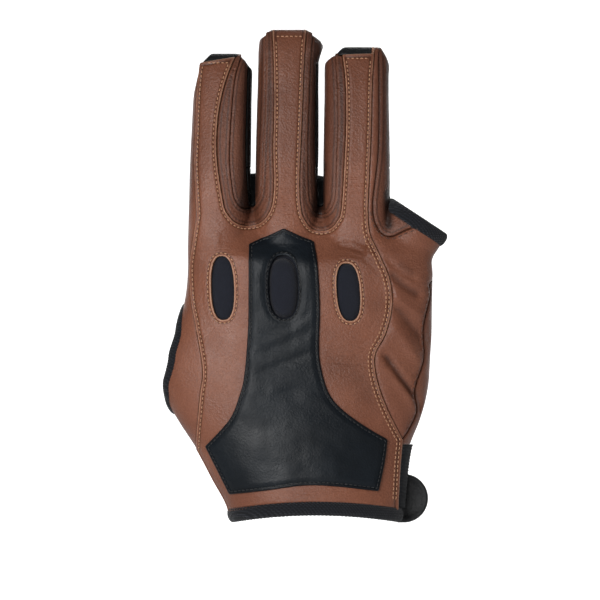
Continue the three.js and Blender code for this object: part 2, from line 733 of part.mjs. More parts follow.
function meshOf(name, solid) {
  const { numProp, vertProperties, triVerts } = solid.getMesh();
  const geometry = new THREE.BufferGeometry();
  geometry.setAttribute('position', new THREE.Float32BufferAttribute(vertProperties, numProp));
  geometry.setIndex([...triVerts]);
  geometry.computeVertexNormals();
  const finish = finishes[finishOf[name] ?? 'brown'];
  const mesh = new THREE.Mesh(geometry, new THREE.MeshStandardMaterial({ ...finish, metalness: 0 }));
  mesh.name = name;
  return mesh;
}

const glove = new THREE.Group();
for (const [name, solid] of Object.entries(pieces)) glove.add(meshOf(name, solid));
export default glove;
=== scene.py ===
import math
import bpy
import numpy as np
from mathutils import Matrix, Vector


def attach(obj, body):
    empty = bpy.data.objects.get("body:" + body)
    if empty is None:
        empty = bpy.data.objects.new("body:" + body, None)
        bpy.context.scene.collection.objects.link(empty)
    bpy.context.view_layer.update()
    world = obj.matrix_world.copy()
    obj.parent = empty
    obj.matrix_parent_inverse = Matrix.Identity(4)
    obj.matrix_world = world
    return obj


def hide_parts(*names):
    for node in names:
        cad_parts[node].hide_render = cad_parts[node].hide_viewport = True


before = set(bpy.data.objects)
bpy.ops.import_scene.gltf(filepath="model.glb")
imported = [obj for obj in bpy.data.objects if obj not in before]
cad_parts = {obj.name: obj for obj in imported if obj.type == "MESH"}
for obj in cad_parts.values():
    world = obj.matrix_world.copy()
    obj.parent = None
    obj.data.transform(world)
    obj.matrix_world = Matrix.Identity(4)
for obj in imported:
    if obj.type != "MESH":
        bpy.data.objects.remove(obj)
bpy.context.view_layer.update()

# The glove's sizes in millimetres, as in the part's source
MM = 0.001
LEATHER, FABRIC, GAP = 1.5, 0.9, 0.3
HALF, HEIGHT, BACK, PALM = 50.0, 125.0, 18.0, 22.0
HAND_COLUMNS = ("up", "left", "right", "back", "palm", "round", "rise", "slope")
HAND_ROWS = (
    (-0.064, -0.66, 0.68, 1.14, 1, 2.1, 0, 0),
    (0.02, -0.705, 0.69, 1.14, 1, 2.1, 0, 0),
    (0.112, -0.825, 0.71, 1.1, 1, 2.15, 0, 0),
    (0.208, -0.955, 0.745, 1.06, 1.02, 2.2, 0, 0),
    (0.304, -1.11, 0.835, 1, 1.05, 2.2, 0, 0),
    (0.368, -1.2, 0.882, 0.97, 1.05, 2.2, 0, 0),
    (0.432, -1.245, 0.908, 0.95, 1.02, 2.2, 0, 0),
    (0.504, -1.235, 0.918, 0.93, 0.98, 2.2, 0, 0),
    (0.592, -1.14, 0.93, 0.93, 0.91, 2.3, 0, 0),
    (0.672, -1.06, 0.932, 0.95, 0.82, 2.4, 0, 0),
    (0.768, -1.03, 0.936, 0.97, 0.74, 2.5, 0, 0),
    (0.84, -1.024, 0.91, 0.94, 0.67, 2.5, 0.12, 0),
    (0.896, -1.016, 0.84, 0.88, 0.62, 2.4, 0.3, -0.02),
    (0.952, -1.004, 0.72, 0.8, 0.56, 2.3, 0.5, -0.05),
    (1.0, -0.97, 0.62, 0.68, 0.52, 2.2, 0.75, -0.08),
    (1.03, -0.92, 0.57, 0.55, 0.45, 2.2, 0.9, -0.1),
)
STALL_COLUMNS = ("up", "wide", "deep")
STALL_ROWS = (
    (0, 0.86, 0.86), (0.1, 0.97, 0.97), (0.22, 1, 1), (0.45, 1.02, 1), (0.65, 1, 0.98), (0.8, 0.98, 0.95),
    (0.9, 0.98, 0.88), (0.955, 0.95, 0.76), (0.985, 0.92, 0.62), (1, 0.9, 0.5),
)
STALL_BASE, STALL_MIDDLE_Y, STALL_ROUND, CURL = 98.0, -2.0, 2.3, 8.0
# A finger's flare swells it below the tip, this far down and this widely
FLARE_BELOW, FLARE_WIDE = 6.5, 3.2
# The hand ends at a slanting plane between the fingers, which fades out beyond these places in X
FORK_TOP, FORK_SLOPE = 123.0, 1.35
FORK_FROM, FORK_TO, FORK_FADE = -44.0, 26.0, 6.0
FORK_STEPS, FORK_ROUND_X, FORK_ROUND_Z = 8, 0.85, 0.9
# How softly the hand's top, the fork plane, a fingertip and its corner cuts are rounded
TOP_SOFT, FORK_SOFT, TIP_SOFT, CORNER_SOFT = 2.0, 1.2, 0.8, 0.5
# corners are the slanted cuts at a fingertip: two points in X and Z each, the glove below them
FINGERS = {
    "index": dict(width=24, depth=21, length=87, tip_seam=2.4, root=-39.6, tip=-37, flare=0,
                  corners=((-48.6, 171, -46.4, 180.6), (-46.4, 180.6, -42.2, 184.8),
                           (-30.8, 184.8, -25.4, 178.2))),
    "middle": dict(width=24.8, depth=22, length=96.6, tip_seam=1.4, root=-12.4, tip=-10.7, flare=1.7,
                   corners=((-22.8, 190.2, -18.6, 194), (-3.4, 194.4, 3.2, 188.4))),
    "ring": dict(width=26.4, depth=21.5, length=89.6, tip_seam=3.2, root=16.3, tip=16.4, flare=0.3,
                 corners=((3.0, 180.4, 8.2, 185.0), (26.9, 186, 29.6, 180.8))),
}
PINKY = dict(half=13.4, deep=11.0, x=40.0, z=117.2, lean=0.581, sleeve=26.0, rim=5.6, round=2.1)
THUMB = dict(across=11.4, up=20.5, x=-37.6, y=0.6, z=62.5, turn=0.3, start=9.5, skew=3.8)
# cut is how far the back panel's hole goes past a window, swell how far the fabric bulges in it
WINDOWS = {
    "index": dict(x=-37.4, z=90.8, wide=9.4, tall=25.6, lean=-0.03, cut=0, swell=1.1),
    "middle": dict(x=-13.0, z=91.2, wide=11.6, tall=24.6, lean=-0.02, cut=1.6, swell=2.9),
    "ring": dict(x=12.9, z=89.2, wide=9.4, tall=23.2, lean=-0.07, cut=0, swell=1.1),
}
WINDOW_STEPS, WINDOW_ROUND, INSERT_LAP = 64, 0.8, 2.6
WEB_TOP, WEB_BOTTOM = 139.0, 96.0
FORK_X = FINGERS["ring"]["root"] + FINGERS["ring"]["width"] / 2 + GAP
SLIT = dict(top=28.0, back_y=-6.5, palm_y=7.0, palm_turn=0.36)
WRIST = dict(edge=-0.5, rise=3.4, span=36)
STRAP = dict(thick=1.6, low=2.5, high=28.0, from_turn=-0.62, to_turn=0.9, leave=-0.22, cross=0.42)
TAB = dict(radius=9.8, out=0.6, y=9.2, z=6.2, tongue=2.6)
FAR, NOWHERE = 50.0, -99.0

STRIPS = {
    "index": dict(
        up=(1.02, 0.9, 0.78, 0.65, 0.5, 0.37),
        strip_left=(-0.72, -0.82, -0.86, -0.86, -0.87, -0.8),
        strip_right=(0.5, 0.16, -0.05, -0.14, -0.1, 0.08),
        seam_right=(0.66, 0.42, 0.34, 0.3, 0.3, 0.4)),
    "middle": dict(
        up=(1.02, 0.85, 0.65, 0.5, 0.36),
        strip_left=(-0.56, -0.48, -0.44, -0.45, -0.4),
        strip_right=(0.56, 0.5, 0.47, 0.44, 0.42),
        seam_left=(-0.76, -0.74, -0.75, -0.78, -0.79),
        seam_right=(0.77, 0.7, 0.67, 0.66, 0.68)),
    "ring": dict(
        up=(1.02, 0.85, 0.65, 0.5, 0.34),
        strip_left=(-0.5, -0.35, -0.33, -0.37, -0.42),
        strip_right=(0.56, 0.47, 0.44, 0.4, 0.35),
        seam_left=(-0.68, -0.6, -0.57, -0.61, -0.62),
        seam_right=(0.68, 0.7, 0.7, 0.66, 0.52)),
}
LEFT_SEAM = (
    (-0.952, 0.96), (-0.99, 0.86), (-1.012, 0.787), (-1.0, 0.69), (-0.96, 0.6), (-0.906, 0.467),
    (-0.93, 0.37), (-0.96, 0.19), (-0.9, 0.05), (-0.86, -0.12))
RIGHT_SEAM = (
    (0.414, 0.98), (0.43, 0.902), (0.508, 0.832), (0.592, 0.75), (0.606, 0.662), (0.55, 0.575),
    (0.47, 0.51), (0.49, 0.43), (0.57, 0.34), (0.695, 0.24))
SLIT_EDGE = ((0.676, 0.16), (0.66, 0.04), (0.66, -0.12))
SIDE_SEAM = (
    (1.3, 0.78), (0.95, 0.75), (0.925, 0.7), (0.87, 0.6), (0.872, 0.5), (0.8, 0.4),
    (0.815, 0.33), (0.74, 0.262))
PINKY_SEAM = (
    (0.458, 1.0), (0.462, 0.96), (0.49, 0.925), (0.54, 0.9), (0.61, 0.893), (0.7, 0.908), (0.9, 0.94))
PATCH_EDGE = (
    (-0.258, 0.917), (-0.537, 0.863), (-0.537, 0.7), (-0.542, 0.59), (-0.571, 0.448), (-0.615, 0.375),
    (-0.69, 0.305), (-0.877, 0.221), (-0.683, 0.068), (-0.4, 0.08), (-0.1, 0.096), (0.15, 0.093),
    (0.492, 0.077), (0.542, 0.173), (0.564, 0.242), (0.373, 0.288), (0.2, 0.34), (0.1, 0.39),
    (0.045, 0.46), (0.022, 0.53), (0.03, 0.66), (0.014, 0.79), (-0.017, 0.871))
PATCH_CORNERS = (0, 1, 7, 8, 12, 14, 22)
FORKS = {
    ("index", "middle"): dict(outer=(115.7, 131), inner=(122.4, 135)),
    ("middle", "ring"): dict(outer=(113.6, 129), inner=(120.3, 134)),
}


# Smooth tables and curves
def smooth_column(keys, values, at):
    """A monotone cubic through a table's column."""
    keys, values = np.asarray(keys, float), np.asarray(values, float)
    step = np.diff(keys)
    slope = np.diff(values) / step
    grade = np.zeros(len(keys))
    grade[0], grade[-1] = slope[0], slope[-1]
    for i in range(1, len(keys) - 1):
        if slope[i - 1] * slope[i] > 0:
            first, second = 2 * step[i] + step[i - 1], step[i] + 2 * step[i - 1]
            grade[i] = (first + second) / (first / slope[i - 1] + second / slope[i])
    i = np.clip(np.searchsorted(keys, at) - 1, 0, len(keys) - 2)
    t = np.clip((at - keys[i]) / step[i], 0, 1)
    return ((1 + 2 * t) * (1 - t) ** 2 * values[i] + t * (1 - t) ** 2 * step[i] * grade[i]
            + t * t * (3 - 2 * t) * values[i + 1] + t * t * (t - 1) * step[i] * grade[i + 1])


def smooth_table(rows, columns, samples=500):
    table = np.array(rows, float)
    at = np.linspace(table[0, 0], table[-1, 0], samples)
    made = {name: smooth_column(table[:, 0], table[:, i], at) for i, name in enumerate(columns)}
    made["up"] = at
    return made


def spline(points, per=8):
    """A Catmull-Rom curve through the points."""
    p = np.asarray(points, float)
    p = np.vstack([2 * p[0] - p[1], p, 2 * p[-1] - p[-2]])
    t = np.linspace(0, 1, per, endpoint=False)[:, None]
    parts = []
    for a, b, c, d in zip(p[:-3], p[1:-2], p[2:-1], p[3:]):
        parts.append(0.5 * (2 * b + (c - a) * t + (2 * a - 5 * b + 4 * c - d) * t ** 2
                            + (3 * b - a - 3 * c + d) * t ** 3))
    return np.vstack([*parts, p[-2][None]])


def even(points, pitch):
    """The same line with evenly spaced points."""
    p = np.asarray(points, float)
    run = np.concatenate([[0], np.cumsum(np.linalg.norm(np.diff(p, axis=0), axis=1))])
    count = max(2, int(round(run[-1] / pitch)) + 1)
    at = np.linspace(0, run[-1], count)
    return np.stack([np.interp(at, run, p[:, k]) for k in range(p.shape[1])], 1)


def shifted(line, distance):
    """A line in X and Z moved to its right-hand side, seen along its way."""
    way = np.gradient(line, axis=0)
    way /= np.maximum(np.linalg.norm(way, axis=1, keepdims=True), 1e-9)
    return line + np.stack([way[:, 1], -way[:, 0]], 1) * distance


def seam(table):
    return np.array([(across * HALF, up * HEIGHT) for across, up in table])


# The glove's surface as a distance field
HAND = smooth_table(HAND_ROWS, HAND_COLUMNS)
STALL = smooth_table(STALL_ROWS, STALL_COLUMNS)


def hand_at(up):
    """The hand's half axes, middle and roundness at these shares of its height."""
    look = {name: np.interp(up, HAND["up"], HAND[name]) for name in HAND_COLUMNS[1:6]}
    left, right = look["left"] * HALF, look["right"] * HALF
    front, rear = -look["back"] * BACK, look["palm"] * PALM
    return (left + right) / 2, (front + rear) / 2, (right - left) / 2, (rear - front) / 2, look["round"]


def oval_distance(dx, dy, a, b, n):
    u, v = np.abs(dx) / a, np.abs(dy) / b
    r = np.maximum((u ** n + v ** n) ** (1 / n), 0.05)
    grade = np.sqrt((u ** (n - 1) / a) ** 2 + (v ** (n - 1) / b) ** 2) * r ** (1 - n)
    return (r - 1) / np.maximum(grade, 1e-3)


def smooth_max(a, b, k):
    h = np.clip(0.5 - 0.5 * (b - a) / k, 0, 1)
    return b + (a - b) * h + k * h * (1 - h)


def hand_field(x, y, z):
    up = z / HEIGHT
    for _ in range(3):
        rise = np.interp(up, HAND["up"], HAND["rise"])
        slope = np.interp(up, HAND["up"], HAND["slope"])
        up = (z - rise * y - slope * x) / HEIGHT
    mx, my, a, b, n = hand_at(up)
    d = oval_distance(x - mx, y - my, a, b, n)
    d = smooth_max(d, (up - HAND_ROWS[-1][0]) * HEIGHT, TOP_SOFT)
    fork = (z - FORK_TOP - FORK_SLOPE * (y + 1)) / math.hypot(1, FORK_SLOPE)
    between = np.clip((FORK_TO - x) / FORK_FADE, 0, 1) * np.clip((x - FORK_FROM) / FORK_FADE, 0, 1)
    d = smooth_max(d, fork * between - 20 * (1 - between), FORK_SOFT)
    return np.maximum(d, (HAND_ROWS[0][0] - up) * HEIGHT)


def stall_middle(finger, along):
    return (finger["root"] + (finger["tip"] - finger["root"]) * along,
            STALL_MIDDLE_Y + CURL * np.maximum(0, along) ** 2, STALL_BASE + along * finger["length"])


def stall_field(finger, x, y, z):
    along = (z - STALL_BASE) / finger["length"]
    mx, my, _ = stall_middle(finger, along)
    wide = np.interp(along, STALL["up"], STALL["wide"]) * finger["width"] / 2
    deep = np.interp(along, STALL["up"], STALL["deep"]) * finger["depth"] / 2
    below_tip = STALL_BASE + finger["length"] - z
    flare = finger["flare"] * np.exp(-((below_tip - FLARE_BELOW) / FLARE_WIDE) ** 2)
    flare = flare * np.clip((x - mx) / 6, 0, 1)
    d = oval_distance(x - mx, y - my, wide + flare, deep, STALL_ROUND)
    d = smooth_max(d, (along - 1) * finger["length"], TIP_SOFT)
    for x0, z0, x1, z1 in finger["corners"]:
        long = math.hypot(x1 - x0, z1 - z0)
        d = smooth_max(d, ((z - z0) * (x1 - x0) - (x - x0) * (z1 - z0)) / long, CORNER_SOFT)
    return np.maximum(d, -along * finger["length"])


LEAN_SIN, LEAN_COS = math.sin(PINKY["lean"]), math.cos(PINKY["lean"])


def sleeve_place(x, z):
    """Along and across the little finger's sleeve."""
    dx, dz = x - PINKY["x"], z - PINKY["z"]
    return dx * LEAN_SIN + dz * LEAN_COS, dx * LEAN_COS - dz * LEAN_SIN


def sleeve_field(x, y, z):
    along, across = sleeve_place(x, z)
    d = oval_distance(across, y, PINKY["half"], PINKY["deep"], PINKY["round"])
    return np.maximum(np.maximum(d, along - PINKY["rim"]), -PINKY["sleeve"] - along)


def smooth_union(a, b, k):
    return -smooth_max(-a, -b, k)


def stall_shape(finger):
    sides = finger["root"], finger["tip"]
    box = (min(sides) - finger["width"] / 2 - 4, max(sides) + finger["width"] / 2 + 4,
           -18, 24, STALL_BASE - 4, STALL_BASE + finger["length"] + 4)
    return (lambda x, y, z: stall_field(finger, x, y, z)), box, 1.4


# Each shape, the box in X, Y and Z that holds it, and how softly it joins the ones before it
SHAPES = [
    (hand_field, (-66, 52, -26, 28, -12, 150), 0.1),
    (sleeve_field, (10, 62, -16, 16, 80, 130), 2.0),
    *[stall_shape(finger) for finger in FINGERS.values()],
]
GRID_LOW, GRID_HIGH = (-68.0, -28.0, -12.0), (62.0, 30.0, 202.0)


def field(p):
    x, y, z = p[:, 0], p[:, 1], p[:, 2]
    whole = None
    for shape, _, soft in SHAPES:
        d = shape(x, y, z)
        whole = d if whole is None else smooth_union(whole, d, soft)
    return whole


def normals(p, step=0.25):
    grade = np.stack([field(p + step * e) - field(p - step * e) for e in np.eye(3)], 1)
    return grade / np.maximum(np.linalg.norm(grade, axis=1, keepdims=True), 1e-9)


# One fine mesh of the whole surface, from a grid
def surface(pitch):
    low, high = np.array(GRID_LOW), np.array(GRID_HIGH)
    count = np.ceil((high - low) / pitch).astype(int)
    axes = [low[k] + pitch * np.arange(count[k]) for k in range(3)]
    grid = np.full(count, 9.0)
    for shape, box, soft in SHAPES:
        cut = [np.searchsorted(axes[k], (box[2 * k], box[2 * k + 1])) for k in range(3)]
        part = tuple(slice(*c) for c in cut)
        x, y, z = np.meshgrid(*[axes[k][part[k]] for k in range(3)], indexing="ij")
        grid[part] = smooth_union(grid[part], shape(x, y, z), soft)
    inside = grid < 0

    def corner(array, offset):
        return array[tuple(slice(o, n - 1 + o) for o, n in zip(offset, count))]

    offsets = [(i, j, k) for i in (0, 1) for j in (0, 1) for k in (0, 1)]
    filled = sum(corner(inside, o).astype(np.int8) for o in offsets)
    active = (filled > 0) & (filled < 8)
    number = np.full(active.shape, -1)
    cells = np.argwhere(active)
    number[active] = np.arange(len(cells))
    total, hits = np.zeros((len(cells), 3)), np.zeros(len(cells))
    for a in offsets:
        for k in range(3):
            if a[k]:
                continue
            b = tuple(v + (i == k) for i, v in enumerate(a))
            fa, fb = corner(grid, a)[active], corner(grid, b)[active]
            crossed = (fa < 0) != (fb < 0)
            place = np.tile(np.array(a, float), (len(cells), 1))
            place[:, k] += np.where(crossed, fa / np.where(crossed, fa - fb, 1), 0)
            total += place * crossed[:, None]
            hits += crossed
    points = low + pitch * (cells + total / hits[:, None])
    quads = []
    for k in range(3):
        i, j = [(1, 2), (2, 0), (0, 1)][k]
        span = [slice(1, n - 1) for n in count]
        span[k] = slice(0, count[k] - 1)
        ahead = list(span)
        ahead[k] = slice(1, count[k])
        first, second = inside[tuple(span)], inside[tuple(ahead)]
        at = np.argwhere(first != second) + [s.start for s in span]
        out = first[first != second]
        ring = []
        for di, dj in ((-1, -1), (0, -1), (0, 0), (-1, 0)):
            cell = at.copy()
            cell[:, i] += di
            cell[:, j] += dj
            ring.append(number[tuple(cell.T)])
        ring = np.stack(ring, 1)
        quads.append(np.where(out[:, None], ring, ring[:, ::-1]))
    quads = np.vstack(quads)
    for _ in range(2):
        total, hits = np.zeros_like(points), np.zeros(len(points))
        for a, b in ((0, 1), (1, 2), (2, 3), (3, 0)):
            np.add.at(total, quads[:, a], points[quads[:, b]])
            np.add.at(hits, quads[:, a], 1)
        points = 0.4 * points + 0.6 * total / hits[:, None]
        points -= field(points)[:, None] * normals(points)
    points -= field(points)[:, None] * normals(points)
    one = np.linalg.norm(points[quads[:, 0]] - points[quads[:, 2]], axis=1)
    two = np.linalg.norm(points[quads[:, 1]] - points[quads[:, 3]], axis=1)
    short = (one <= two)[:, None]
    left = np.where(short, quads[:, [0, 1, 2]], quads[:, [1, 2, 3]])
    right = np.where(short, quads[:, [0, 2, 3]], quads[:, [1, 3, 0]])
    return points, np.vstack([left, right])


# Outlines of the panels in X and Z, as in the part's source
def strip_edge(name, column):
    finger, rows = FINGERS[name], STRIPS[name]
    points = []
    for up, share in zip(rows["up"], rows[column]):
        x, _, z = stall_middle(finger, up)
        points.append((x + share * finger["width"] / 2, z))
    return np.array(points)


def fork_curve(left, right, sill, spring):
    a, b = left[-1], right[-1]
    turns = math.pi * np.arange(1, FORK_STEPS) / FORK_STEPS
    cosine = np.cos(turns)
    arc = np.stack([
        (a[0] + b[0]) / 2 - (b[0] - a[0]) / 2 * np.sign(cosine) * np.abs(cosine) ** FORK_ROUND_X,
        spring - (spring - sill) * np.sin(turns) ** FORK_ROUND_Z], 1)
    return spline(np.vstack([left[left[:, 1] > spring], arc, right[right[:, 1] > spring][::-1]]))


def fork(pair, which):
    left, right = pair
    sides = ("strip_right", "strip_left") if which == "outer" else ("seam_right", "seam_left")
    return fork_curve(strip_edge(left, sides[0]), strip_edge(right, sides[1]), *FORKS[pair][which])


INDEX_MIDDLE, MIDDLE_RING = ("index", "middle"), ("middle", "ring")
outer_one, inner_one = fork(INDEX_MIDDLE, "outer"), fork(INDEX_MIDDLE, "inner")
outer_two, inner_two = fork(MIDDLE_RING, "outer"), fork(MIDDLE_RING, "inner")
right_seam = spline(seam(RIGHT_SEAM))
left_seam = spline(seam(LEFT_SEAM))
side_seam = spline(seam(SIDE_SEAM))
pinky_seam = spline(seam(PINKY_SEAM))
ring_strip = spline(strip_edge("ring", "strip_right"))
ring_seam = spline(strip_edge("ring", "seam_right"))
index_strip = spline(strip_edge("index", "strip_left"))
patch_points = seam(PATCH_EDGE)
patch_edge = np.vstack([
    spline(patch_points[a:b + 1]) for a, b in zip(PATCH_CORNERS[:-1], PATCH_CORNERS[1:])])
patch_edge = np.vstack([patch_edge, patch_points[:1]])


def window_edge(opening, extra):
    turns = 2 * math.pi * np.arange(WINDOW_STEPS) / WINDOW_STEPS
    c, s = np.cos(turns), np.sin(turns)
    x = (opening["wide"] / 2 + extra) * np.sign(c) * np.abs(c) ** WINDOW_ROUND
    z = (opening["tall"] / 2 + extra) * np.sign(s) * np.abs(s) ** WINDOW_ROUND
    return np.stack([opening["x"] + x + opening["lean"] * z, opening["z"] + z], 1)


OUTLINES = {
    "back_panel": np.vstack([
        outer_one, outer_two, ring_strip, right_seam, seam(SLIT_EDGE), left_seam[::-1], index_strip[::-1]]),
    "gusset_index_middle": np.vstack([outer_one, inner_one[::-1]]),
    "gusset_middle_ring": np.vstack([outer_two, inner_two[::-1]]),
    "fourchette_index_middle": inner_one,
    "fourchette_middle_ring": inner_two,
    "side_panel": np.vstack([ring_seam, pinky_seam, side_seam, right_seam[::-1], ring_strip[::-1]]),
    "fourchette_ring_pinky": np.vstack([
        ring_seam, pinky_seam, [(80, HEIGHT), (80, ring_seam[0, 1])]]),
}


def line_distance(p, line, closed=False):
    """Distance in X and Z from points to a line, negative inside a closed one."""
    a = line if closed else line[:-1]
    b = np.roll(line, -1, 0) if closed else line[1:]
    ab = b - a
    long = np.maximum((ab ** 2).sum(1), 1e-12)
    made = np.empty(len(p))
    for start in range(0, len(p), 3000):
        q = p[start:start + 3000, None]
        t = np.clip(((q - a) * ab).sum(-1) / long, 0, 1)
        d = np.sqrt(((q - a - t[..., None] * ab) ** 2).sum(-1).min(1))
        if closed:
            above = (a[:, 1] > q[..., 1]) != (b[:, 1] > q[..., 1])
            lift = np.where(np.abs(ab[:, 1]) < 1e-12, 1e-12, ab[:, 1])
            cross = q[..., 0] < a[:, 0] + (q[..., 1] - a[:, 1]) * ab[:, 0] / lift
            d = np.where((above & cross).sum(1) % 2 == 1, -d, d)
        made[start:start + 3000] = d
    return made


# Which part of the surface each panel covers: negative inside it
def split_y(z):
    """Where in Y the back of the hand ends and the palm side begins."""
    along = np.clip((z - STALL_BASE) / FINGERS["middle"]["length"], 0, 1)
    return SPLIT_Y + CURL * along ** 2


def fork_middle(left, right):
    one, two = FINGERS[left], FINGERS[right]
    return (one["root"] + one["tip"] + one["width"] + two["root"] + two["tip"] - two["width"]) / 4


SPLIT_Y = -1.0
FORK_ONE, FORK_TWO = fork_middle("index", "middle"), fork_middle("middle", "ring")
# The cut tip of each back strip: X and Z at its left end, then at its right end
TIPS = ((-52.0, 180.2, -31.6, 183.8), (-14.8, 196.0, -9.2, 196.0), (8.8, 184.4, 22.4, 184.9))
# The share of a finger's half width from where its side is black, and the heights between which it is. This
# black is partly the pad leather coming round and partly painted shade on the finger's right side.
BLACK_FROM = (0.86, 0.94, 1.1)
BLACK_FOOT, BLACK_NARROWS, BLACK_TOP = 124.0, 30.0, 181.0
# The brown side of the index finger: how far it goes in X, past the split in Y,
# and above the strip's tip
INDEX_SIDE_X = FINGERS["index"]["root"] - 0.22 * FINGERS["index"]["width"]
BROWN_REACH, BROWN_ABOVE = 5, 0.4
# The gap of a seam, and where it closes at the index tip: there the seam runs along the finger's side,
# on which its distance in X and Z hardly grows
SEAM_GAP, SEAM_CLOSES, SEAM_FADE = 0.16, 176.0, 4
# How far below the openings' rims the leather ends, under the bindings
UNDER_TAPE = 1.2


def tip_side(p):
    """Positive above the cut tips and on the black side of a finger, where the pads come round; that black
    side is partly real pad leather and partly painted shade.
    """
    x, z = p[:, 0], p[:, 2]
    made = np.full(len(p), -FAR)
    limits = (FORK_ONE, FORK_TWO, HALF)
    for finger, (x0, z0, x1, z1), share, limit in zip(FINGERS.values(), TIPS, BLACK_FROM, limits):
        cut = z - (z0 + (x - x0) * (z1 - z0) / (x1 - x0))
        made = np.maximum(made, np.minimum(np.minimum(cut, x - x0), x1 - x))
        mx, _, _ = stall_middle(finger, (z - STALL_BASE) / finger["length"])
        narrow = np.clip(1 - (z - BLACK_FOOT) / BLACK_NARROWS, 0, 1)
        side = x - mx - (share + 0.2 * narrow ** 2) * finger["width"] / 2
        low = np.minimum(z - BLACK_FOOT, BLACK_TOP - z)
        made = np.maximum(made, np.minimum(np.minimum(side, low), limit - x))
    return made


def front_side(p):
    """Negative on the back of the hand and fingers, which the photograph shows."""
    return np.maximum(p[:, 1] - split_y(p[:, 2]), tip_side(p))


def brown_side(p):
    """Negative where the palm panel covers the side of the index finger."""
    across = np.maximum(p[:, 1] - split_y(p[:, 2]) - BROWN_REACH, p[:, 0] - INDEX_SIDE_X)
    return np.maximum(across, p[:, 2] - (TIPS[0][1] + BROWN_ABOVE))


def seam_gap(p):
    """Half of a seam's gap, none at the side of the index tip."""
    low = np.clip((SEAM_CLOSES - p[:, 2]) / SEAM_FADE, 0, 1)
    return SEAM_GAP / 2 * np.maximum(low, np.clip((p[:, 0] - INDEX_SIDE_X) / 2, 0, 1))


def wrist_edge(x):
    """The height of the wrist's arched edge."""
    share = np.clip(x, -WRIST["span"], WRIST["span"]) / WRIST["span"]
    return WRIST["edge"] + WRIST["rise"] * (1 - share ** 2)


def outside_rims(p):
    """Positive past the wrist, thumb and little finger rims, which the bindings cover."""
    x, y, z = p[:, 0], p[:, 1], p[:, 2]
    wrist = wrist_edge(x) + UNDER_TAPE - z
    along, _ = sleeve_place(x, z)
    pinky = np.minimum(along + UNDER_TAPE, x - FORK_X - 0.2)
    sine, cosine = math.sin(THUMB["turn"]), math.cos(THUMB["turn"])
    dx, dy, dz = x - THUMB["x"], y - THUMB["y"], z - THUMB["z"]
    across, out = dx * sine + dy * cosine, -dx * cosine + dy * sine
    ring = oval_distance(across, dz, THUMB["across"] + 0.6, THUMB["up"] + 0.6, 2)
    reach = np.maximum(np.hypot(across / THUMB["across"], dz / THUMB["up"]), 0.2)
    start = THUMB["start"] - THUMB["skew"] * across / THUMB["across"] / reach
    thumb = -np.maximum(ring, start - out)
    return np.maximum(np.maximum(wrist, pinky), thumb)


def slit_side(p, back_y):
    """Positive inside the slit at the wrist, from this Y on."""
    x, y, z = p[:, 0], p[:, 1], p[:, 2]
    inside = np.maximum(np.maximum(back_y - y, y - SLIT["palm_y"]), z - SLIT["top"])
    return np.where(x > HALF / 2, -inside, NOWHERE)


def panel_values(p):
    """For each leather panel, a value at each point: negative inside the panel."""
    front, rims = front_side(p), outside_rims(p)
    flat = p[:, [0, 2]]
    near = front < 4
    values = {}
    for name, outline in OUTLINES.items():
        d = np.full(len(p), FAR)
        low, high = outline.min(0) - 5, outline.max(0) + 5
        pick = near & (flat > low).all(1) & (flat < high).all(1)
        d[pick] = line_distance(flat[pick], outline, True)
        values[name] = np.maximum(d, front)
    x, z = p[:, 0], p[:, 2]
    side = -brown_side(p)
    foot = WEB_TOP - z - SEAM_GAP / 2
    values["finger_pad_index"] = np.maximum.reduce([-front, x - FORK_ONE, foot, side])
    values["finger_pad_middle"] = np.maximum.reduce([-front, x - FORK_TWO, FORK_ONE - x, foot])
    values["finger_pad_ring"] = np.maximum.reduce([-front, FORK_TWO - x, foot])
    values["palm_web"] = np.maximum.reduce(
        [-front, x - FORK_X - GAP, WEB_BOTTOM - z, z - WEB_TOP - SEAM_GAP / 2, side])
    values["palm_panel"] = np.maximum(-np.minimum.reduce(list(values.values())), slit_side(p, -BACK))
    slit, gap = slit_side(p, SLIT["back_y"]), seam_gap(p)
    for name in values:
        values[name] = np.maximum.reduce([values[name] + gap, rims, slit])
    return values


# Cutting a triangle mesh along a line where a value is zero
def split_mesh(points, faces, value):
    value = np.where(np.abs(value) < 0.03, 0.0, value)
    v = value[faces]
    mixed = (v.min(1) < 0) & (v.max(1) > 0)
    plain, work = faces[~mixed], faces[mixed]
    if not len(work):
        return points, faces, value
    lone = np.zeros(len(work), int)
    w = value[work]
    zero = (w == 0).any(1)
    for k in range(3):
        others = [(k + 1) % 3, (k + 2) % 3]
        alone = (np.sign(w[:, k])[:, None] != np.sign(w[:, others])).all(1) & (w[:, k] != 0)
        lone = np.where(alone & ~zero, k, lone)
        lone = np.where(zero & (w[:, k] == 0), k, lone)
    order = (lone[:, None] + np.arange(3)) % 3
    tri = np.take_along_axis(work, order, 1)
    a, b, c = tri.T
    pairs = np.vstack([np.stack([a, b], 1)[~zero], np.stack([a, c], 1)[~zero], np.stack([b, c], 1)[zero]])
    keys = np.sort(pairs, 1)
    unique, back = np.unique(keys[:, 0] * len(points) + keys[:, 1], return_inverse=True)
    first, second = unique // len(points), unique % len(points)
    t = value[first] / (value[first] - value[second])
    fresh = points[first] + (points[second] - points[first]) * t[:, None]
    back = back.ravel() + len(points)
    n = int((~zero).sum())
    ab, ac, bc = back[:n], back[n:2 * n], back[2 * n:]
    a1, b1, c1 = a[~zero], b[~zero], c[~zero]
    a2, b2, c2 = a[zero], b[zero], c[zero]
    made = np.vstack([
        plain, np.stack([a1, ab, ac], 1), np.stack([ab, b1, c1], 1), np.stack([ab, c1, ac], 1),
        np.stack([a2, b2, bc], 1), np.stack([a2, bc, c2], 1)])
    return np.vstack([points, fresh]), made, np.concatenate([value, np.zeros(len(fresh))])


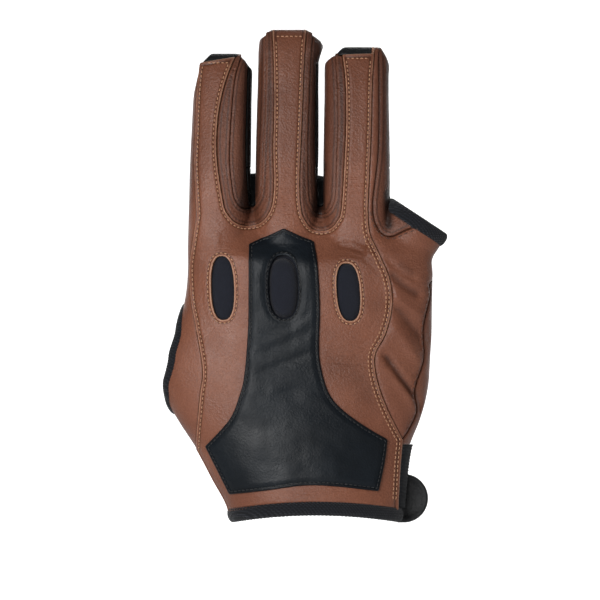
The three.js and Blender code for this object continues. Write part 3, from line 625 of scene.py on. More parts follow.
def cut_out(points, faces, value, levels):
    """The part of a mesh where the value is below zero, with edge loops at these depths."""
    pick = faces[(value[faces] < 0).any(1)]
    used, pick = np.unique(pick, return_inverse=True)
    points, value, faces = points[used], value[used], pick.reshape(-1, 3)
    for level in (0.0, *levels):
        points, faces, shifted_value = split_mesh(points, faces, value + level)
        value = shifted_value - level
        if level == 0:
            faces = faces[value[faces].mean(1) < 0]
    used, faces = np.unique(faces, return_inverse=True)
    return points[used], faces.reshape(-1, 3), -value[used]


def new_object(name, points, faces, materials, second=None, attributes=None, sharp=55):
    mesh = bpy.data.meshes.new(name)
    mesh.from_pydata((np.asarray(points) * MM).tolist(), [], [tuple(map(int, f)) for f in faces])
    for material in materials:
        mesh.materials.append(material)
    if second is not None:
        mesh.polygons.foreach_set("material_index", np.asarray(second, np.int32))
    mesh.polygons.foreach_set("use_smooth", np.ones(len(mesh.polygons), bool))
    for key, values in (attributes or {}).items():
        made = mesh.attributes.new(key, "FLOAT", "POINT")
        made.data.foreach_set("value", np.asarray(values, np.float32))
    mesh.update()
    if sharp:
        mesh.set_sharp_from_angle(angle=math.radians(sharp))
    made = bpy.data.objects.new(name, mesh)
    bpy.context.scene.collection.objects.link(made)
    return made


def dress(made, node_name):
    """Lets a piece ride on the body and stand for its CAD node."""
    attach(made, "root")
    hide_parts(node_name)
    return made


def tube_faces(count, around, closed=False):
    """The faces of a tube of this many rings, with caps where it is open."""
    faces = []
    for r in range(count if closed else count - 1):
        for k in range(around):
            a, b = r * around + k, r * around + (k + 1) % around
            ahead = ((r + 1) % count - r) * around
            faces.append((a, a + ahead, b + ahead, b))
    if not closed:
        faces += [tuple(range(around)), tuple(range(count * around - 1, (count - 1) * around - 1, -1))]
    return faces


def leather_sheet(name, points, faces, outer, inner, materials, attributes):
    """A sheet with its own thickness: an outer skin, an inner skin and a rim."""
    count = len(points)
    edges = np.vstack([faces[:, [0, 1]], faces[:, [1, 2]], faces[:, [2, 0]]])
    keys = np.sort(edges, 1)
    _, first, times = np.unique(keys[:, 0] * count + keys[:, 1], return_index=True, return_counts=True)
    rim = edges[first[times == 1]]
    a, b = rim.T
    rim_faces = np.vstack([np.stack([b, a, a + count], 1), np.stack([b, a + count, b + count], 1)])
    every = np.vstack([faces, rim_faces, faces[:, ::-1] + count])
    second = np.concatenate([np.zeros(len(faces) + len(rim_faces)), np.ones(len(faces))])
    doubled = {key: np.concatenate([v, v]) for key, v in attributes.items()}
    return new_object(name, np.vstack([outer, inner]), every, materials, second, doubled)


# Folds and creases of the worn leather: points in X and Z, how wide and how deep
CREASES = (
    (((27.6, 64), (34, 55), (40, 47), (42, 42)), 1.6, 2.0),
    (((31, 58), (37, 49), (40.5, 42)), 2.4, -1.0),
    (((30, 96), (36, 91), (41, 88)), 1.8, 1.3),
    (((28.5, 102), (34, 97), (40, 94)), 1.4, 0.8),
    (((31, 84), (38, 76), (43, 70)), 2.6, 1.5),
    (((32, 74), (38, 66), (42, 60)), 2.4, -0.9),
    (((29, 90), (35, 84), (42, 80)), 2.2, -0.7),
    (((11, 111), (18, 109), (25, 103.5)), 0.9, 0.35),
    (((10, 107.5), (17, 105.8), (24, 100.5)), 0.9, 0.32),
    (((13, 104), (19, 102.4), (25, 97)), 0.8, 0.25),
    (((6, 65), (14, 63.8), (22, 64.6)), 0.9, 0.3),
    (((7, 61.5), (14, 60.6), (21, 61.4)), 0.9, 0.3),
    (((5.5, 69), (12, 67.8), (20, 68.8)), 1.0, 0.22),
    (((-18, 128.4), (-12, 127.4), (-6.6, 128.2)), 0.8, 0.22),
    (((-18.4, 125.2), (-12, 124.4), (-7, 125.3)), 0.8, 0.25),
    (((-18, 122), (-13, 121.2), (-7.4, 122)), 0.8, 0.25),
    (((-18.6, 118.8), (-13, 118.2), (-7.6, 119)), 0.8, 0.22),
    (((-17, 131.6), (-12, 130.8), (-7, 131.4)), 0.8, 0.18),
    (((10, 137), (16, 135.6), (22, 136.6)), 0.8, 0.2),
    (((10, 133.6), (16, 132.4), (22, 133.4)), 0.8, 0.2),
    (((-45, 104), (-38, 106.5), (-31, 105)), 1.0, 0.22),
    (((-24, 64), (-14, 68), (-2, 74)), 2.4, 0.4),
    (((-22, 57), (-12, 61), (0, 66)), 2.0, 0.35),
    (((-20, 73), (-12, 75), (-4, 80)), 1.8, 0.3),
    (((-16, 48), (-4, 50), (6, 47)), 2.6, 0.3),
)


def creases(p, front):
    """How far the leather stands out or in because of its creases."""
    made = np.zeros(len(p))
    near = front < -0.5
    flat = p[near][:, [0, 2]]
    total = np.zeros(len(flat))
    for points, wide, deep in CREASES:
        line = spline(points, 6)
        length = np.linalg.norm(line[-1] - line[0])
        centre = (line[0] + line[-1]) / 2
        fade = np.clip(1.25 - np.linalg.norm(flat - centre, axis=1) / (0.55 * length), 0, 1)
        total -= deep * np.exp(-(line_distance(flat, line) / wide) ** 2) * fade ** 0.5
    made[near] = total
    return made


# Painted shade in the crotches between the fingers, in the folds and in broad soft patches on the hand's
# right side: points in X and Z, how wide, how dark
PAINTED_SHADE_LINES = (
    (((-26.6, 141), (-27.2, 132), (-28.4, 124.0)), 2.9, 1.5),
    (((1.7, 140), (1.0, 130), (0.2, 121.6)), 2.5, 1.5),
    (((28.7, 129), (28.8, 121), (29.0, 115.8)), 1.9, 1.3),
    (((28.4, 63), (34, 55), (39.4, 48)), 1.1, 0.75),
    (((30.5, 96), (36, 91), (40, 88.6)), 1.3, 0.5),
    (((33, 82), (38, 76), (42, 71)), 1.6, 0.45),
    (((34, 100), (38, 97)), 1.2, 0.3),
    (((9, 59), (16, 56), (21, 50)), 6.5, 0.3),
    (((10, 105), (17, 104), (22, 99)), 5.0, 0.14),
    (((24, 84), (24.5, 78)), 4.0, 0.15),
)
# Painted shade for each finger: how dark its right side, its left side and its upper part are
PAINTED_SIDE_SHADE = ((1.0, 0.4, 0.2), (0.85, 0.4, 0.3), (0.4, 0.45, 0.17))


def painted_shade(p, front):
    """Painted shade on the leather: in the folds and crotches, where a finger's sides turn away from the
    light, and more of it up the fingers.
    """
    x, z = p[:, 0], p[:, 2]
    made = np.zeros(len(p))
    for finger, (right, left, whole), limit in zip(FINGERS.values(), PAINTED_SIDE_SHADE, (FORK_ONE, FORK_TWO, HALF)):
        mx, _, _ = stall_middle(finger, (z - STALL_BASE) / finger["length"])
        across = (x - mx) / (finger["width"] / 2)
        high = np.clip((z - 116) / 16, 0, 1) * (np.abs(across) < 1.3) * (x < limit)
        made = np.maximum(made, high * whole * np.clip((z - 126) / 20, 0, 1))
        made = np.maximum(made, high * right * np.clip((across - 0.28) / 0.6, 0, 1) ** 1.3)
        made = np.maximum(made, high * left * np.clip((-across - 0.7) / 0.3, 0, 1) ** 1.3)
    near = front < 0
    flat = p[near][:, [0, 2]]
    fold = np.zeros(len(flat))
    for points, wide, dark in PAINTED_SHADE_LINES:
        fold = np.maximum(fold, dark * np.exp(-(line_distance(flat, spline(points, 6)) / wide) ** 2))
    made[near] = np.clip(np.maximum(made[near], fold), 0, 1)
    return made


# Where fine wrinkles lie: the middle in X and Z, and half of the width and height
WRINKLED = (
    (-12.4, 124.5, 7.5, 12), (15.5, 128, 7, 13), (20, 106, 15, 6), (14, 64, 12, 8), (36, 98, 8, 9),
    (-38, 107, 9, 5), (-12, 66, 14, 12), (38, 60, 6, 14), (0, 8, 22, 4),
)


def wrinkled(p, front):
    made = np.zeros(len(p))
    for x, z, wide, tall in WRINKLED:
        made = np.maximum(made, np.exp(-((p[:, 0] - x) / wide) ** 2 - ((p[:, 2] - z) / tall) ** 2))
    return made * np.clip(-front / 3, 0, 1)


# Materials
def node(tree, kind, settings=None, **inputs):
    made = tree.nodes.new(kind)
    for key, value in (settings or {}).items():
        setattr(made, key, value)
    for key, value in inputs.items():
        socket = made.inputs[int(key[1:])] if key[0] == "i" and key[1:].isdigit() else made.inputs[key]
        if isinstance(value, bpy.types.NodeSocket):
            tree.links.new(value, socket)
        else:
            socket.default_value = value
    return made


def colour(red, green, blue):
    """An sRGB colour of 0 to 255 as the shader's linear one."""
    linear = [((c / 255 + 0.055) / 1.055) ** 2.4 if c > 10 else c / 255 / 12.92
              for c in (red, green, blue)]
    return (*linear, 1.0)


def darker(tone, share):
    return (*(c * share for c in tone[:3]), 1.0)


def mix(tree, factor, a, b):
    return node(tree, "ShaderNodeMix", {"data_type": "RGBA"}, i0=factor, i6=a, i7=b).outputs[2]


def maths(tree, operation, *values):
    inputs = {f"i{k}": value for k, value in enumerate(values)}
    return node(tree, "ShaderNodeMath", {"operation": operation}, **inputs).outputs[0]


def ranged(tree, value, low, high, to_low, to_high):
    """The value's range from low to high turned into the other range."""
    made = node(tree, "ShaderNodeMapRange", {"clamp": True},
                i0=value, i1=low, i2=high, i3=to_low, i4=to_high)
    return made.outputs[0]


def noise(tree, place, scale, detail=3.0, rough=0.55):
    return node(tree, "ShaderNodeTexNoise", Vector=place, Scale=scale, Detail=detail,
                Roughness=rough).outputs[0]


def wave(tree, place, direction, scale, distortion, detail=2.0):
    return node(tree, "ShaderNodeTexWave", {"bands_direction": direction}, Vector=place, Scale=scale,
                Distortion=distortion, Detail=detail).outputs[1]


def material(name):
    made = bpy.data.materials.new(name)
    made.use_nodes = True
    made.node_tree.nodes.clear()
    tree = made.node_tree
    place = node(tree, "ShaderNodeTexCoord").outputs["Object"]
    shader = node(tree, "ShaderNodeBsdfPrincipled")
    node(tree, "ShaderNodeOutputMaterial", Surface=shader.outputs[0])
    return made, tree, place, shader


def connect(tree, shader, **inputs):
    for key, value in inputs.items():
        socket = shader.inputs[key.replace("_", " ")]
        if isinstance(value, bpy.types.NodeSocket):
            tree.links.new(value, socket)
        else:
            socket.default_value = value


def bump(tree, height, distance, strength=1.0, under=None):
    inputs = dict(Height=height, Distance=distance, Strength=strength)
    if under is not None:
        inputs["Normal"] = under
    return node(tree, "ShaderNodeBump", **inputs).outputs[0]


def attribute(tree, name):
    return node(tree, "ShaderNodeAttribute", {"attribute_name": name}).outputs["Fac"]


def leather(name, base, dark, light, rough, grain, wrinkle, raw=None, rim=None, shine=0.22):
    """Grained leather: two tones, painted shade along the seams or pale worn rims, torn raw edges with a
    painted shadow in the stitch groove, painted shade in folds and on turned-away sides, pores and wrinkles.
    """
    made, tree, place, shader = material(name)
    broad = ranged(tree, noise(tree, place, 42.0), 0.35, 0.68, 0.0, 1.0)
    fine = ranged(tree, noise(tree, place, 1500.0, 3.0, 0.7), 0.35, 0.65, 0.0, 1.0)
    tone = mix(tree, broad, dark, light)
    tone = mix(tree, 0.55, tone, base)
    tone = mix(tree, ranged(tree, fine, 0.0, 1.0, 0.0, 0.4), tone, darker(dark, 0.6))
    edge = attribute(tree, "edge")
    if rim is None:
        # Painted shade in the groove along a seam, within 0.6 mm of the panel's edge
        tone = mix(tree, ranged(tree, edge, 0.0, 0.6, 0.6, 0.0), tone, darker(dark, 0.25))
    else:
        worn = ranged(tree, noise(tree, place, 260.0), 0.35, 0.6, 0.3, 0.85)
        line = ranged(tree, edge, 0.3, 0.6, 1.0, 0.0)
        tone = mix(tree, maths(tree, "MULTIPLY", worn, line), tone, rim)
    if raw is not None:
        # Painted shadow in the stitch groove, this far in from the panel's edge
        row = maths(tree, "ABSOLUTE", maths(tree, "SUBTRACT", edge, INSET))
        tone = mix(tree, ranged(tree, row, 0.15, 0.5, 0.6, 0.0), tone, darker(dark, 0.3))
        torn = ranged(tree, noise(tree, place, 520.0), 0.35, 0.6, 0.15, 0.8)
        line = ranged(tree, attribute(tree, "raw"), 0.2, 0.5, 1.0, 0.0)
        tone = mix(tree, maths(tree, "MULTIPLY", torn, line), tone, raw)
    # Painted shade in folds, crotches and on finger sides turned from the light
    shade = ranged(tree, attribute(tree, "painted_shade"), 0.0, 1.0, 0.0, 0.92)
    tone = mix(tree, shade, tone, darker(dark, 0.12))
    pores = node(tree, "ShaderNodeTexVoronoi", {"feature": "SMOOTH_F1"}, Vector=place, Scale=1150.0,
                 Smoothness=0.5).outputs[0]
    cells = bump(tree, pores, grain, 0.9)
    soft = bump(tree, noise(tree, place, 2000.0, 3.0, 0.65), grain, 0.9, cells)
    waves = bump(tree, noise(tree, place, 60.0, 2.0), wrinkle, 0.7, soft)
    flat = node(tree, "ShaderNodeMapping", Vector=place, Scale=(170.0, 170.0, 620.0)).outputs[0]
    ripples = maths(tree, "MULTIPLY", noise(tree, flat, 1.0, 5.0, 0.65), attribute(tree, "wrinkled"))
    waves = bump(tree, ripples, 0.0006, 0.9, waves)
    gloss = ranged(tree, noise(tree, place, 130.0), 0.3, 0.7, rough - 0.06, rough + 0.08)
    connect(tree, shader, Base_Color=tone, Roughness=gloss, Normal=waves)
    shader.inputs["Specular IOR Level"].default_value = shine
    return made


def suede(name, base, dark):
    made, tree, place, shader = material(name)
    tone = mix(tree, ranged(tree, noise(tree, place, 700.0, 4.0), 0.3, 0.7, 0.0, 1.0), dark, base)
    nap = bump(tree, noise(tree, place, 1600.0, 5.0), 0.00012, 0.9)
    connect(tree, shader, Base_Color=tone, Roughness=0.92, Normal=nap)
    shader.inputs["Specular IOR Level"].default_value = 0.2
    return made


def knit(name, base, light, scale, depth):
    """Dense fabric: crossed ribs over a fuzzy ground."""
    made, tree, place, shader = material(name)
    both = maths(tree, "MULTIPLY", wave(tree, place, "DIAGONAL", scale, 1.5),
                 wave(tree, place, "Z", scale * 1.1, 1.2))
    fuzz = noise(tree, place, 2200.0, 4.0)
    tone = mix(tree, ranged(tree, both, 0.1, 0.9, 0.0, 1.0), base, light)
    tone = mix(tree, ranged(tree, fuzz, 0.45, 0.75, 0.0, 0.5), tone, light)
    relief = bump(tree, both, depth, 0.9)
    relief = bump(tree, fuzz, depth * 0.5, 0.7, relief)
    connect(tree, shader, Base_Color=tone, Roughness=0.9, Normal=relief)
    shader.inputs["Sheen Weight"].default_value = 0.08
    shader.inputs["Sheen Roughness"].default_value = 0.5
    shader.inputs["Specular IOR Level"].default_value = 0.25
    return made


def thread(name, base, dark):
    made, tree, place, shader = material(name)
    twist = wave(tree, place, "DIAGONAL", 900.0, 0.6)
    connect(tree, shader, Base_Color=mix(tree, twist, dark, base), Roughness=0.55,
            Normal=bump(tree, twist, 0.00008, 0.8))
    return made


# How far the stitches lie from a seam
INSET = 1.3
brown = leather("brown_leather", colour(108, 65, 47), colour(88, 51, 36), colour(122, 77, 58), rough=0.4,
                grain=0.00013, wrinkle=0.0007, raw=colour(132, 98, 77), rim=colour(164, 122, 96))
side_brown = leather("side_leather", colour(110, 67, 49), colour(88, 51, 37), colour(122, 78, 60),
                     rough=0.4, grain=0.00013, wrinkle=0.0008)
gusset_brown = leather("gusset_leather", colour(100, 60, 44), colour(74, 43, 31), colour(112, 71, 54),
                       rough=0.44, grain=0.0002, wrinkle=0.0006, raw=colour(132, 86, 66))
black = leather("black_leather", colour(13, 18, 23), colour(8, 11, 14), colour(19, 25, 31),
                rough=0.4, grain=0.00006, wrinkle=0.0013, raw=colour(44, 48, 52), shine=0.12)
pad_black = leather("pad_leather", colour(11, 12, 14), colour(7, 8, 10), colour(17, 19, 21),
                    rough=0.5, grain=0.00018, wrinkle=0.0005, shine=0.25)
lining_brown = suede("suede_brown", colour(150, 112, 84), colour(118, 84, 62))
lining_black = suede("suede_black", colour(48, 46, 46), colour(30, 29, 30))
stretch = knit("stretch_knit", colour(9, 11, 19), colour(22, 26, 39), scale=1300.0, depth=0.00009)
tape = knit("binding_tape", colour(3, 4, 7), colour(19, 22, 31), scale=430.0, depth=0.0003)
woven = knit("woven_band", colour(8, 9, 12), colour(40, 44, 49), scale=520.0, depth=0.00025)
brown_thread = thread("brown_thread", colour(176, 132, 100), colour(118, 80, 56))
dark_thread = thread("dark_brown_thread", colour(84, 52, 38), colour(52, 30, 22))
black_thread = thread("black_thread", colour(14, 16, 19), colour(5, 6, 8))


# Leather panels
PITCH = 0.8
skin_points, skin_faces = surface(PITCH)
skin_flat = skin_points[:, [0, 2]]
front_value = front_side(skin_points)
values = panel_values(skin_points)
# Distances from a panel's edge at which its mesh has edge loops
STITCHED = (0.25, 0.6, 1.0, 1.3, 1.6, 2.2, 3.2)
PLAIN = (0.25, 0.7, 1.4)
# How far the leather stands out at these distances from an edge
SEWN_EDGE = ((0, 0.25, 0.6, 1.0, 1.3, 1.6, 2.2, 3.2, 6),
             (0.1, 0.5, 0.55, 0.2, 0.0, 0.16, 0.26, 0.16, 0.0))
ROLLED = ((0, 0.25, 0.7, 1.4, 3.0), (-0.7, -0.35, -0.08, 0.1, 0.28))
PLAIN_EDGE = ((0, 0.25, 0.7, 1.4, 3.0), (-0.25, -0.06, 0.0, 0.0, 0.0))
RIDGE = ((0, 0.25, 0.7, 1.4, 2.5), (0.05, 0.4, 0.42, 0.15, 0.0))
CUT_EDGE = ((0, 0.25, 0.7, 1.2, 1.7, 2.3, 4), (0.0, 0.15, 0.12, -0.14, -0.05, 0.0, 0.0))
PATCH_EDGES = ((0, 0.25, 0.7, 1.2, 1.7, 2.3, 3.2, 7), (0.9, 1.25, 1.35, 1.15, 1.3, 1.45, 1.6, 1.6))


def profile(edge, table):
    return np.interp(edge, *table)


def tip_height(x):
    """The height of the fingertip above each X."""
    tops = [STALL_BASE + f["length"] for f in FINGERS.values()]
    return np.where(x < FORK_ONE, tops[0], np.where(x < FORK_TWO, tops[1], tops[2]))


def window_values(p):
    """Distance from the holes in the back panel, negative inside them."""
    flat = p[:, [0, 2]]
    made = np.full(len(p), FAR)
    for opening in WINDOWS.values():
        edge = window_edge(opening, opening["cut"])
        low, high = edge.min(0) - 6, edge.max(0) + 6
        pick = (p[:, 1] < 0) & (flat > low).all(1) & (flat < high).all(1)
        made[pick] = np.minimum(made[pick], line_distance(flat[pick], edge, True))
    return made


def make_panel(node_name, shape, levels, materials, windows=False, ridge=None):
    """One leather panel, with the windows' holes or a ridge along a line where it has them."""
    value = values[node_name]
    if windows:
        value = np.maximum(value, -window_values(skin_points))
    points, faces, edge = cut_out(skin_points, skin_faces, value, levels)
    out = normals(points)
    raw = window_values(points) if windows else np.full(len(points), FAR)
    rise = profile(edge, shape)
    if windows:
        rise = np.where(raw < edge + 0.1, profile(raw, CUT_EDGE), rise)
        raw = np.minimum(raw, line_distance(points[:, [0, 2]], seam(SLIT_EDGE)) + 0.1)
    rise = rise * np.clip((tip_height(points[:, 0]) - points[:, 2] - 0.8) / 2.5, 0.1, 1)
    if ridge is not None:
        raw = line_distance(points[:, [0, 2]], ridge)
        rise = np.where(raw < edge + 0.1, profile(raw, RIDGE), rise)
    front = front_side(points)
    rise = rise + creases(points, front) * np.clip(edge / 1.5, 0, 1)
    under = np.clip(LEATHER - 0.4 * np.exp(-edge / 0.3), 0.6, LEATHER)
    attributes = {"edge": edge, "raw": raw, "wrinkled": wrinkled(points, front),
                  "painted_shade": painted_shade(points, front)}
    made = leather_sheet(f"{node_name}_leather", points, faces, points + out * rise[:, None],
                         points - out * under[:, None], materials, attributes)
    dress(made, node_name)


BROWN, SIDE = (brown, lining_brown), (side_brown, lining_brown)
GUSSET, PAD = (gusset_brown, lining_brown), (pad_black, lining_black)
make_panel("back_panel", SEWN_EDGE, STITCHED, BROWN, windows=True)
for side, inner in (("index_middle", inner_one), ("middle_ring", inner_two)):
    make_panel(f"gusset_{side}", ROLLED, PLAIN, GUSSET, ridge=inner)
    make_panel(f"fourchette_{side}", ROLLED, PLAIN, GUSSET)
make_panel("side_panel", ROLLED, PLAIN, SIDE)
make_panel("fourchette_ring_pinky", ROLLED, PLAIN, GUSSET)
make_panel("palm_panel", PLAIN_EDGE, PLAIN, SIDE)
for piece in ("palm_web", "finger_pad_index", "finger_pad_middle", "finger_pad_ring"):
    make_panel(piece, PLAIN_EDGE, PLAIN, PAD)


# The black patch and the stretch inserts
def cover_piece(name, node_name, value, levels, low, rise, materials):
    """A piece cut from the surface, from low up to what rise gives."""
    points, faces, edge = cut_out(skin_points, skin_faces, value, levels)
    out = normals(points)
    top = rise(points, edge)
    made = leather_sheet(name, points, faces, points + out * top[:, None],
                         points + out * np.minimum(low, top - 0.5)[:, None], materials,
                         {"edge": edge + 0.6, "raw": window_values(points) + 1.5,
                          "wrinkled": 0.4 * wrinkled(points, front_side(points)),
                          "painted_shade": np.zeros(len(points))})
    return dress(made, node_name)


patch_value = np.maximum(line_distance(skin_flat, patch_edge, True), front_value)
middle_window = line_distance(skin_flat, window_edge(WINDOWS["middle"], GAP), True)
# The stitched groove round the middle window lies this far out of it
RING_OUT = 0.7


def patch_rise(p, edge):
    ring = line_distance(p[:, [0, 2]], window_edge(WINDOWS["middle"], RING_OUT))
    groove = 0.3 * np.exp(-(ring / 0.5) ** 2)
    return profile(edge, PATCH_EDGES) + creases(p, front_side(p)) * np.clip(edge / 3, 0, 1) - groove


cover_piece("back_patch_leather", "back_patch", np.maximum(patch_value, -middle_window), STITCHED,
            GAP, patch_rise, (black, lining_black))


def make_insert(side, opening):
    """Stretch fabric behind a window, which bulges in it. Its flat size is the window and its lap."""
    inner, cut = window_edge(opening, 0), window_edge(opening, INSERT_LAP)
    lapped = line_distance(skin_flat, cut, True)

    def insert_rise(p, edge):
        deep = -line_distance(p[:, [0, 2]], inner, True)
        return -LEATHER - GAP + opening["swell"] * (1 - np.exp(-np.clip(deep, 0, None) / 1.2))

    insert = cover_piece(
        f"knuckle_insert_{side}_knit", f"knuckle_insert_{side}", np.maximum(lapped, front_value),
        (1.0, 2.0, 2.6, 3.2), -LEATHER - GAP - FABRIC, insert_rise, (stretch, stretch))


for side, opening in WINDOWS.items():
    make_insert(side, opening)


# Rims bound with knitted tape
TAPE_SIDES, TAPE_ROUND, TAPE_RIBS = 20, 2.15, 0.03


def make_tape(side, path, outward, wide, thick, closed):
    """A rounded, finely ribbed tape along a path, its wide side towards the outside."""
    path = np.asarray(path, float)
    if closed:
        way = np.roll(path, -1, 0) - np.roll(path, 1, 0)
    else:
        way = np.gradient(path, axis=0)
    way /= np.linalg.norm(way, axis=1, keepdims=True)
    out = outward - (outward * way).sum(1, keepdims=True) * way
    out /= np.linalg.norm(out, axis=1, keepdims=True)
    across = np.cross(way, out)
    turns = 2 * math.pi * np.arange(TAPE_SIDES) / TAPE_SIDES
    c, s = np.cos(turns), np.sin(turns)
    u = np.sign(c) * np.abs(c) ** (2 / TAPE_ROUND) * wide / 2
    v = np.sign(s) * np.abs(s) ** (2 / TAPE_ROUND) * thick / 2
    ribs = 1 + TAPE_RIBS * np.cos(np.arange(len(path)) * math.pi)[:, None]
    sideways, outwards = across[:, None] * (u * ribs)[..., None], out[:, None] * (v * ribs)[..., None]
    rings = path[:, None] + sideways + outwards
    made = new_object(f"{side}_binding_tape", rings.reshape(-1, 3),
                      tube_faces(len(path), TAPE_SIDES, closed), [tape])
    dress(made, f"{side}_binding")


def hand_point(turn, z, offset=0.0):
    """Points round the hand at a height, this far out of its surface."""
    mx, my, a, b, n = hand_at(z / HEIGHT)
    c, s = np.cos(turn), np.sin(turn)
    x = mx + (a + offset) * np.sign(c) * np.abs(c) ** (2 / n)
    y = my + (b + offset) * np.sign(s) * np.abs(s) ** (2 / n)
    return np.stack([x, y, np.broadcast_to(z, x.shape)], 1)


wrist_turns = np.linspace(SLIT["palm_turn"], 2 * math.pi - 0.12, 260)
base = hand_point(wrist_turns, np.zeros(len(wrist_turns)))
wrist_path = even(hand_point(wrist_turns, wrist_edge(base[:, 0]), -LEATHER / 2), 0.8)
make_tape("wrist", wrist_path, normals(wrist_path), 5.8, 3.4, False)

ring_turns = np.linspace(0, 2 * math.pi, 220, endpoint=False)
pinky_across = (PINKY["half"] - LEATHER / 2) * np.cos(ring_turns)
pinky_path = np.stack([
    PINKY["x"] + pinky_across * LEAN_COS, (PINKY["deep"] - LEATHER / 2) * np.sin(ring_turns),
    PINKY["z"] - pinky_across * LEAN_SIN], 1)
make_tape("pinky", pinky_path, pinky_path - np.array([PINKY["x"], 0, PINKY["z"]]), 5.8, 3.2, True)

sine, cosine = math.sin(THUMB["turn"]), math.cos(THUMB["turn"])
thumb_across, thumb_out = np.array([sine, cosine, 0]), np.array([-cosine, sine, 0])
# The rim of the thumb's opening, pushed out from a flat ring until it lies in the middle of the leather
thumb_start = (np.array([THUMB["x"], THUMB["y"], THUMB["z"]])
               + np.cos(ring_turns)[:, None] * THUMB["across"] * thumb_across
               + np.sin(ring_turns)[:, None] * THUMB["up"] * np.array([0, 0, 1]))
near, far = np.zeros(len(ring_turns)), np.full(len(ring_turns), 60.0)
for _ in range(24):
    middle = (near + far) / 2
    at = thumb_start + middle[:, None] * thumb_out
    inside = hand_field(*at.T) < -LEATHER / 2
    near, far = np.where(inside, middle, near), np.where(inside, far, middle)
thumb_path = thumb_start + near[:, None] * thumb_out
make_tape("thumb", thumb_path, normals(thumb_path), 4.2, 3.2, True)


# Closure: a ribbed band through the slit and a folded round tab
def band_offset(turn):
    """How far the band lies out of the hand's surface: inside the glove first, then outside."""
    half = STRAP["thick"] / 2
    inside, outside = -LEATHER - 3 * GAP - half, GAP + half
    t = np.clip((turn - STRAP["leave"]) / STRAP["cross"], 0, 1)
    return inside + (outside - inside) * t * t * (3 - 2 * t)


def make_band():
    turns = np.linspace(STRAP["from_turn"], STRAP["to_turn"], 150)
    layers = []
    for side in (1, -1):
        rows = []
        for k, z in enumerate(np.linspace(STRAP["low"], STRAP["high"], 42)):
            rib = 0.14 * math.cos(k * math.pi)
            rows.append(hand_point(turns, z, band_offset(turns) + side * (STRAP["thick"] / 2 + rib)))
        layers.append(np.stack(rows, 1))
    rings = np.concatenate([layers[0], layers[1][:, ::-1]], 1)
    faces = tube_faces(len(turns), rings.shape[1])
    made = new_object("closure_strap_band", rings.reshape(-1, 3), faces, [woven])
    dress(made, "closure_strap")


make_band()


def make_tab():
    """A round tab with a raised rim and a hollow face, cut off at the hand."""
    mx, _, a, _, _ = hand_at(TAB["z"] / HEIGHT)
    x0, around = mx + a + TAB["out"], 72
    turns = np.linspace(-math.pi / 2, math.pi / 2, around)
    tongue = -TAB["tongue"] * (np.abs(np.sin(turns)) > 0.999)
    shares = (0.0, 0.35, 0.6, 0.76, 0.84, 0.9, 0.95, 1.0)
    lifts = (0.35, 0.35, 0.38, 0.55, 1.05, 1.2, 1.05, 0.55)
    rows = []
    for side in (-1, 1):
        loops = []
        for share, lift in zip(shares, lifts):
            loops.append(np.stack([
                x0 + TAB["radius"] * share * np.cos(turns) + tongue,
                np.full(around, TAB["y"] + side * lift),
                TAB["z"] + TAB["radius"] * share * np.sin(turns)], 1))
        rows.append(loops if side < 0 else loops[::-1])
    rings = np.array(rows[0] + rows[1])
    count, faces = len(rings), []
    for r in range(count - 1):
        for k in range(around - 1):
            a, b = r * around + k, r * around + k + 1
            faces.append((a, b, b + around, a + around))
    for side in (0, around - 1):
        rows = range(count) if side else range(count - 1, -1, -1)
        faces.append(tuple(r * around + side for r in rows))
    made = new_object("closure_tab_loop", rings.reshape(-1, 3), faces, [pad_black, lining_black],
                      attributes={"edge": np.full(count * around, 3.0)})
    dress(made, "closure_tab")


make_tab()


# Stitches: short threads lying in the groove beside each seam
def on_surface(line):
    """The points of a line in X and Z put on the back of the glove."""
    y = np.arange(-27, 25, 0.5)
    points = np.stack([
        np.repeat(line[:, 0], len(y)), np.tile(y, len(line)), np.repeat(line[:, 1], len(y))], 1)
    inside = (field(points) < 0).reshape(len(line), len(y))
    first = inside.argmax(1)
    hit = inside.any(1)
    out = y[np.maximum(first - 1, 0)]
    deep = y[first]
    for _ in range(10):
        middle = (out + deep) / 2
        at = np.stack([line[:, 0], middle, line[:, 1]], 1)
        within = field(at) < 0
        out, deep = np.where(within, out, middle), np.where(within, middle, deep)
    return np.stack([line[:, 0], deep, line[:, 1]], 1)[hit]


# A stitch from end to end: place along it, thickness, and rise out of the leather
THREAD_SIDES = 6
THREAD = ((-1.0, 0.35, -0.2), (-0.8, 0.85, 0.02), (-0.35, 1.0, 0.16),
          (0.35, 1.0, 0.16), (0.8, 0.85, 0.02), (1.0, 0.35, -0.2))


def stitches(name, lines, lift, material_used, pitch=1.8, long=1.25, radius=0.25):
    """A short thread for each stitch along these lines in X and Z."""
    points, faces = [], []
    turns = 2 * math.pi * np.arange(THREAD_SIDES) / THREAD_SIDES
    thread_faces = tube_faces(len(THREAD), THREAD_SIDES)
    for line in lines:
        solid = on_surface(even(line, 0.4))
        if len(solid) < 6:
            continue
        marks = even(solid, pitch / 2)
        middles, ends = marks[1:-1:2], marks[2::2] - marks[:-2:2]
        out = normals(middles)
        way = ends / np.maximum(np.linalg.norm(ends, axis=1, keepdims=True), 1e-9)
        across = np.cross(way, out)
        for m, w, o, a in zip(middles, way, out, across):
            start = len(points)
            faces += [tuple(start + corner for corner in face) for face in thread_faces]
            for along, thick, rise in THREAD:
                centre = m + w * (along * long / 2) + o * (lift + rise)
                points.extend(centre + radius * thick * (np.cos(t) * a + np.sin(t) * o) for t in turns)
    made = new_object(name, np.array(points), faces, [material_used], sharp=0)
    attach(made, "root")


def below(line, top):
    return line[line[:, 1] < top]


index_top, middle_top, ring_top = [
    STALL_BASE + f["length"] - f["tip_seam"] - 1.6 for f in FINGERS.values()]


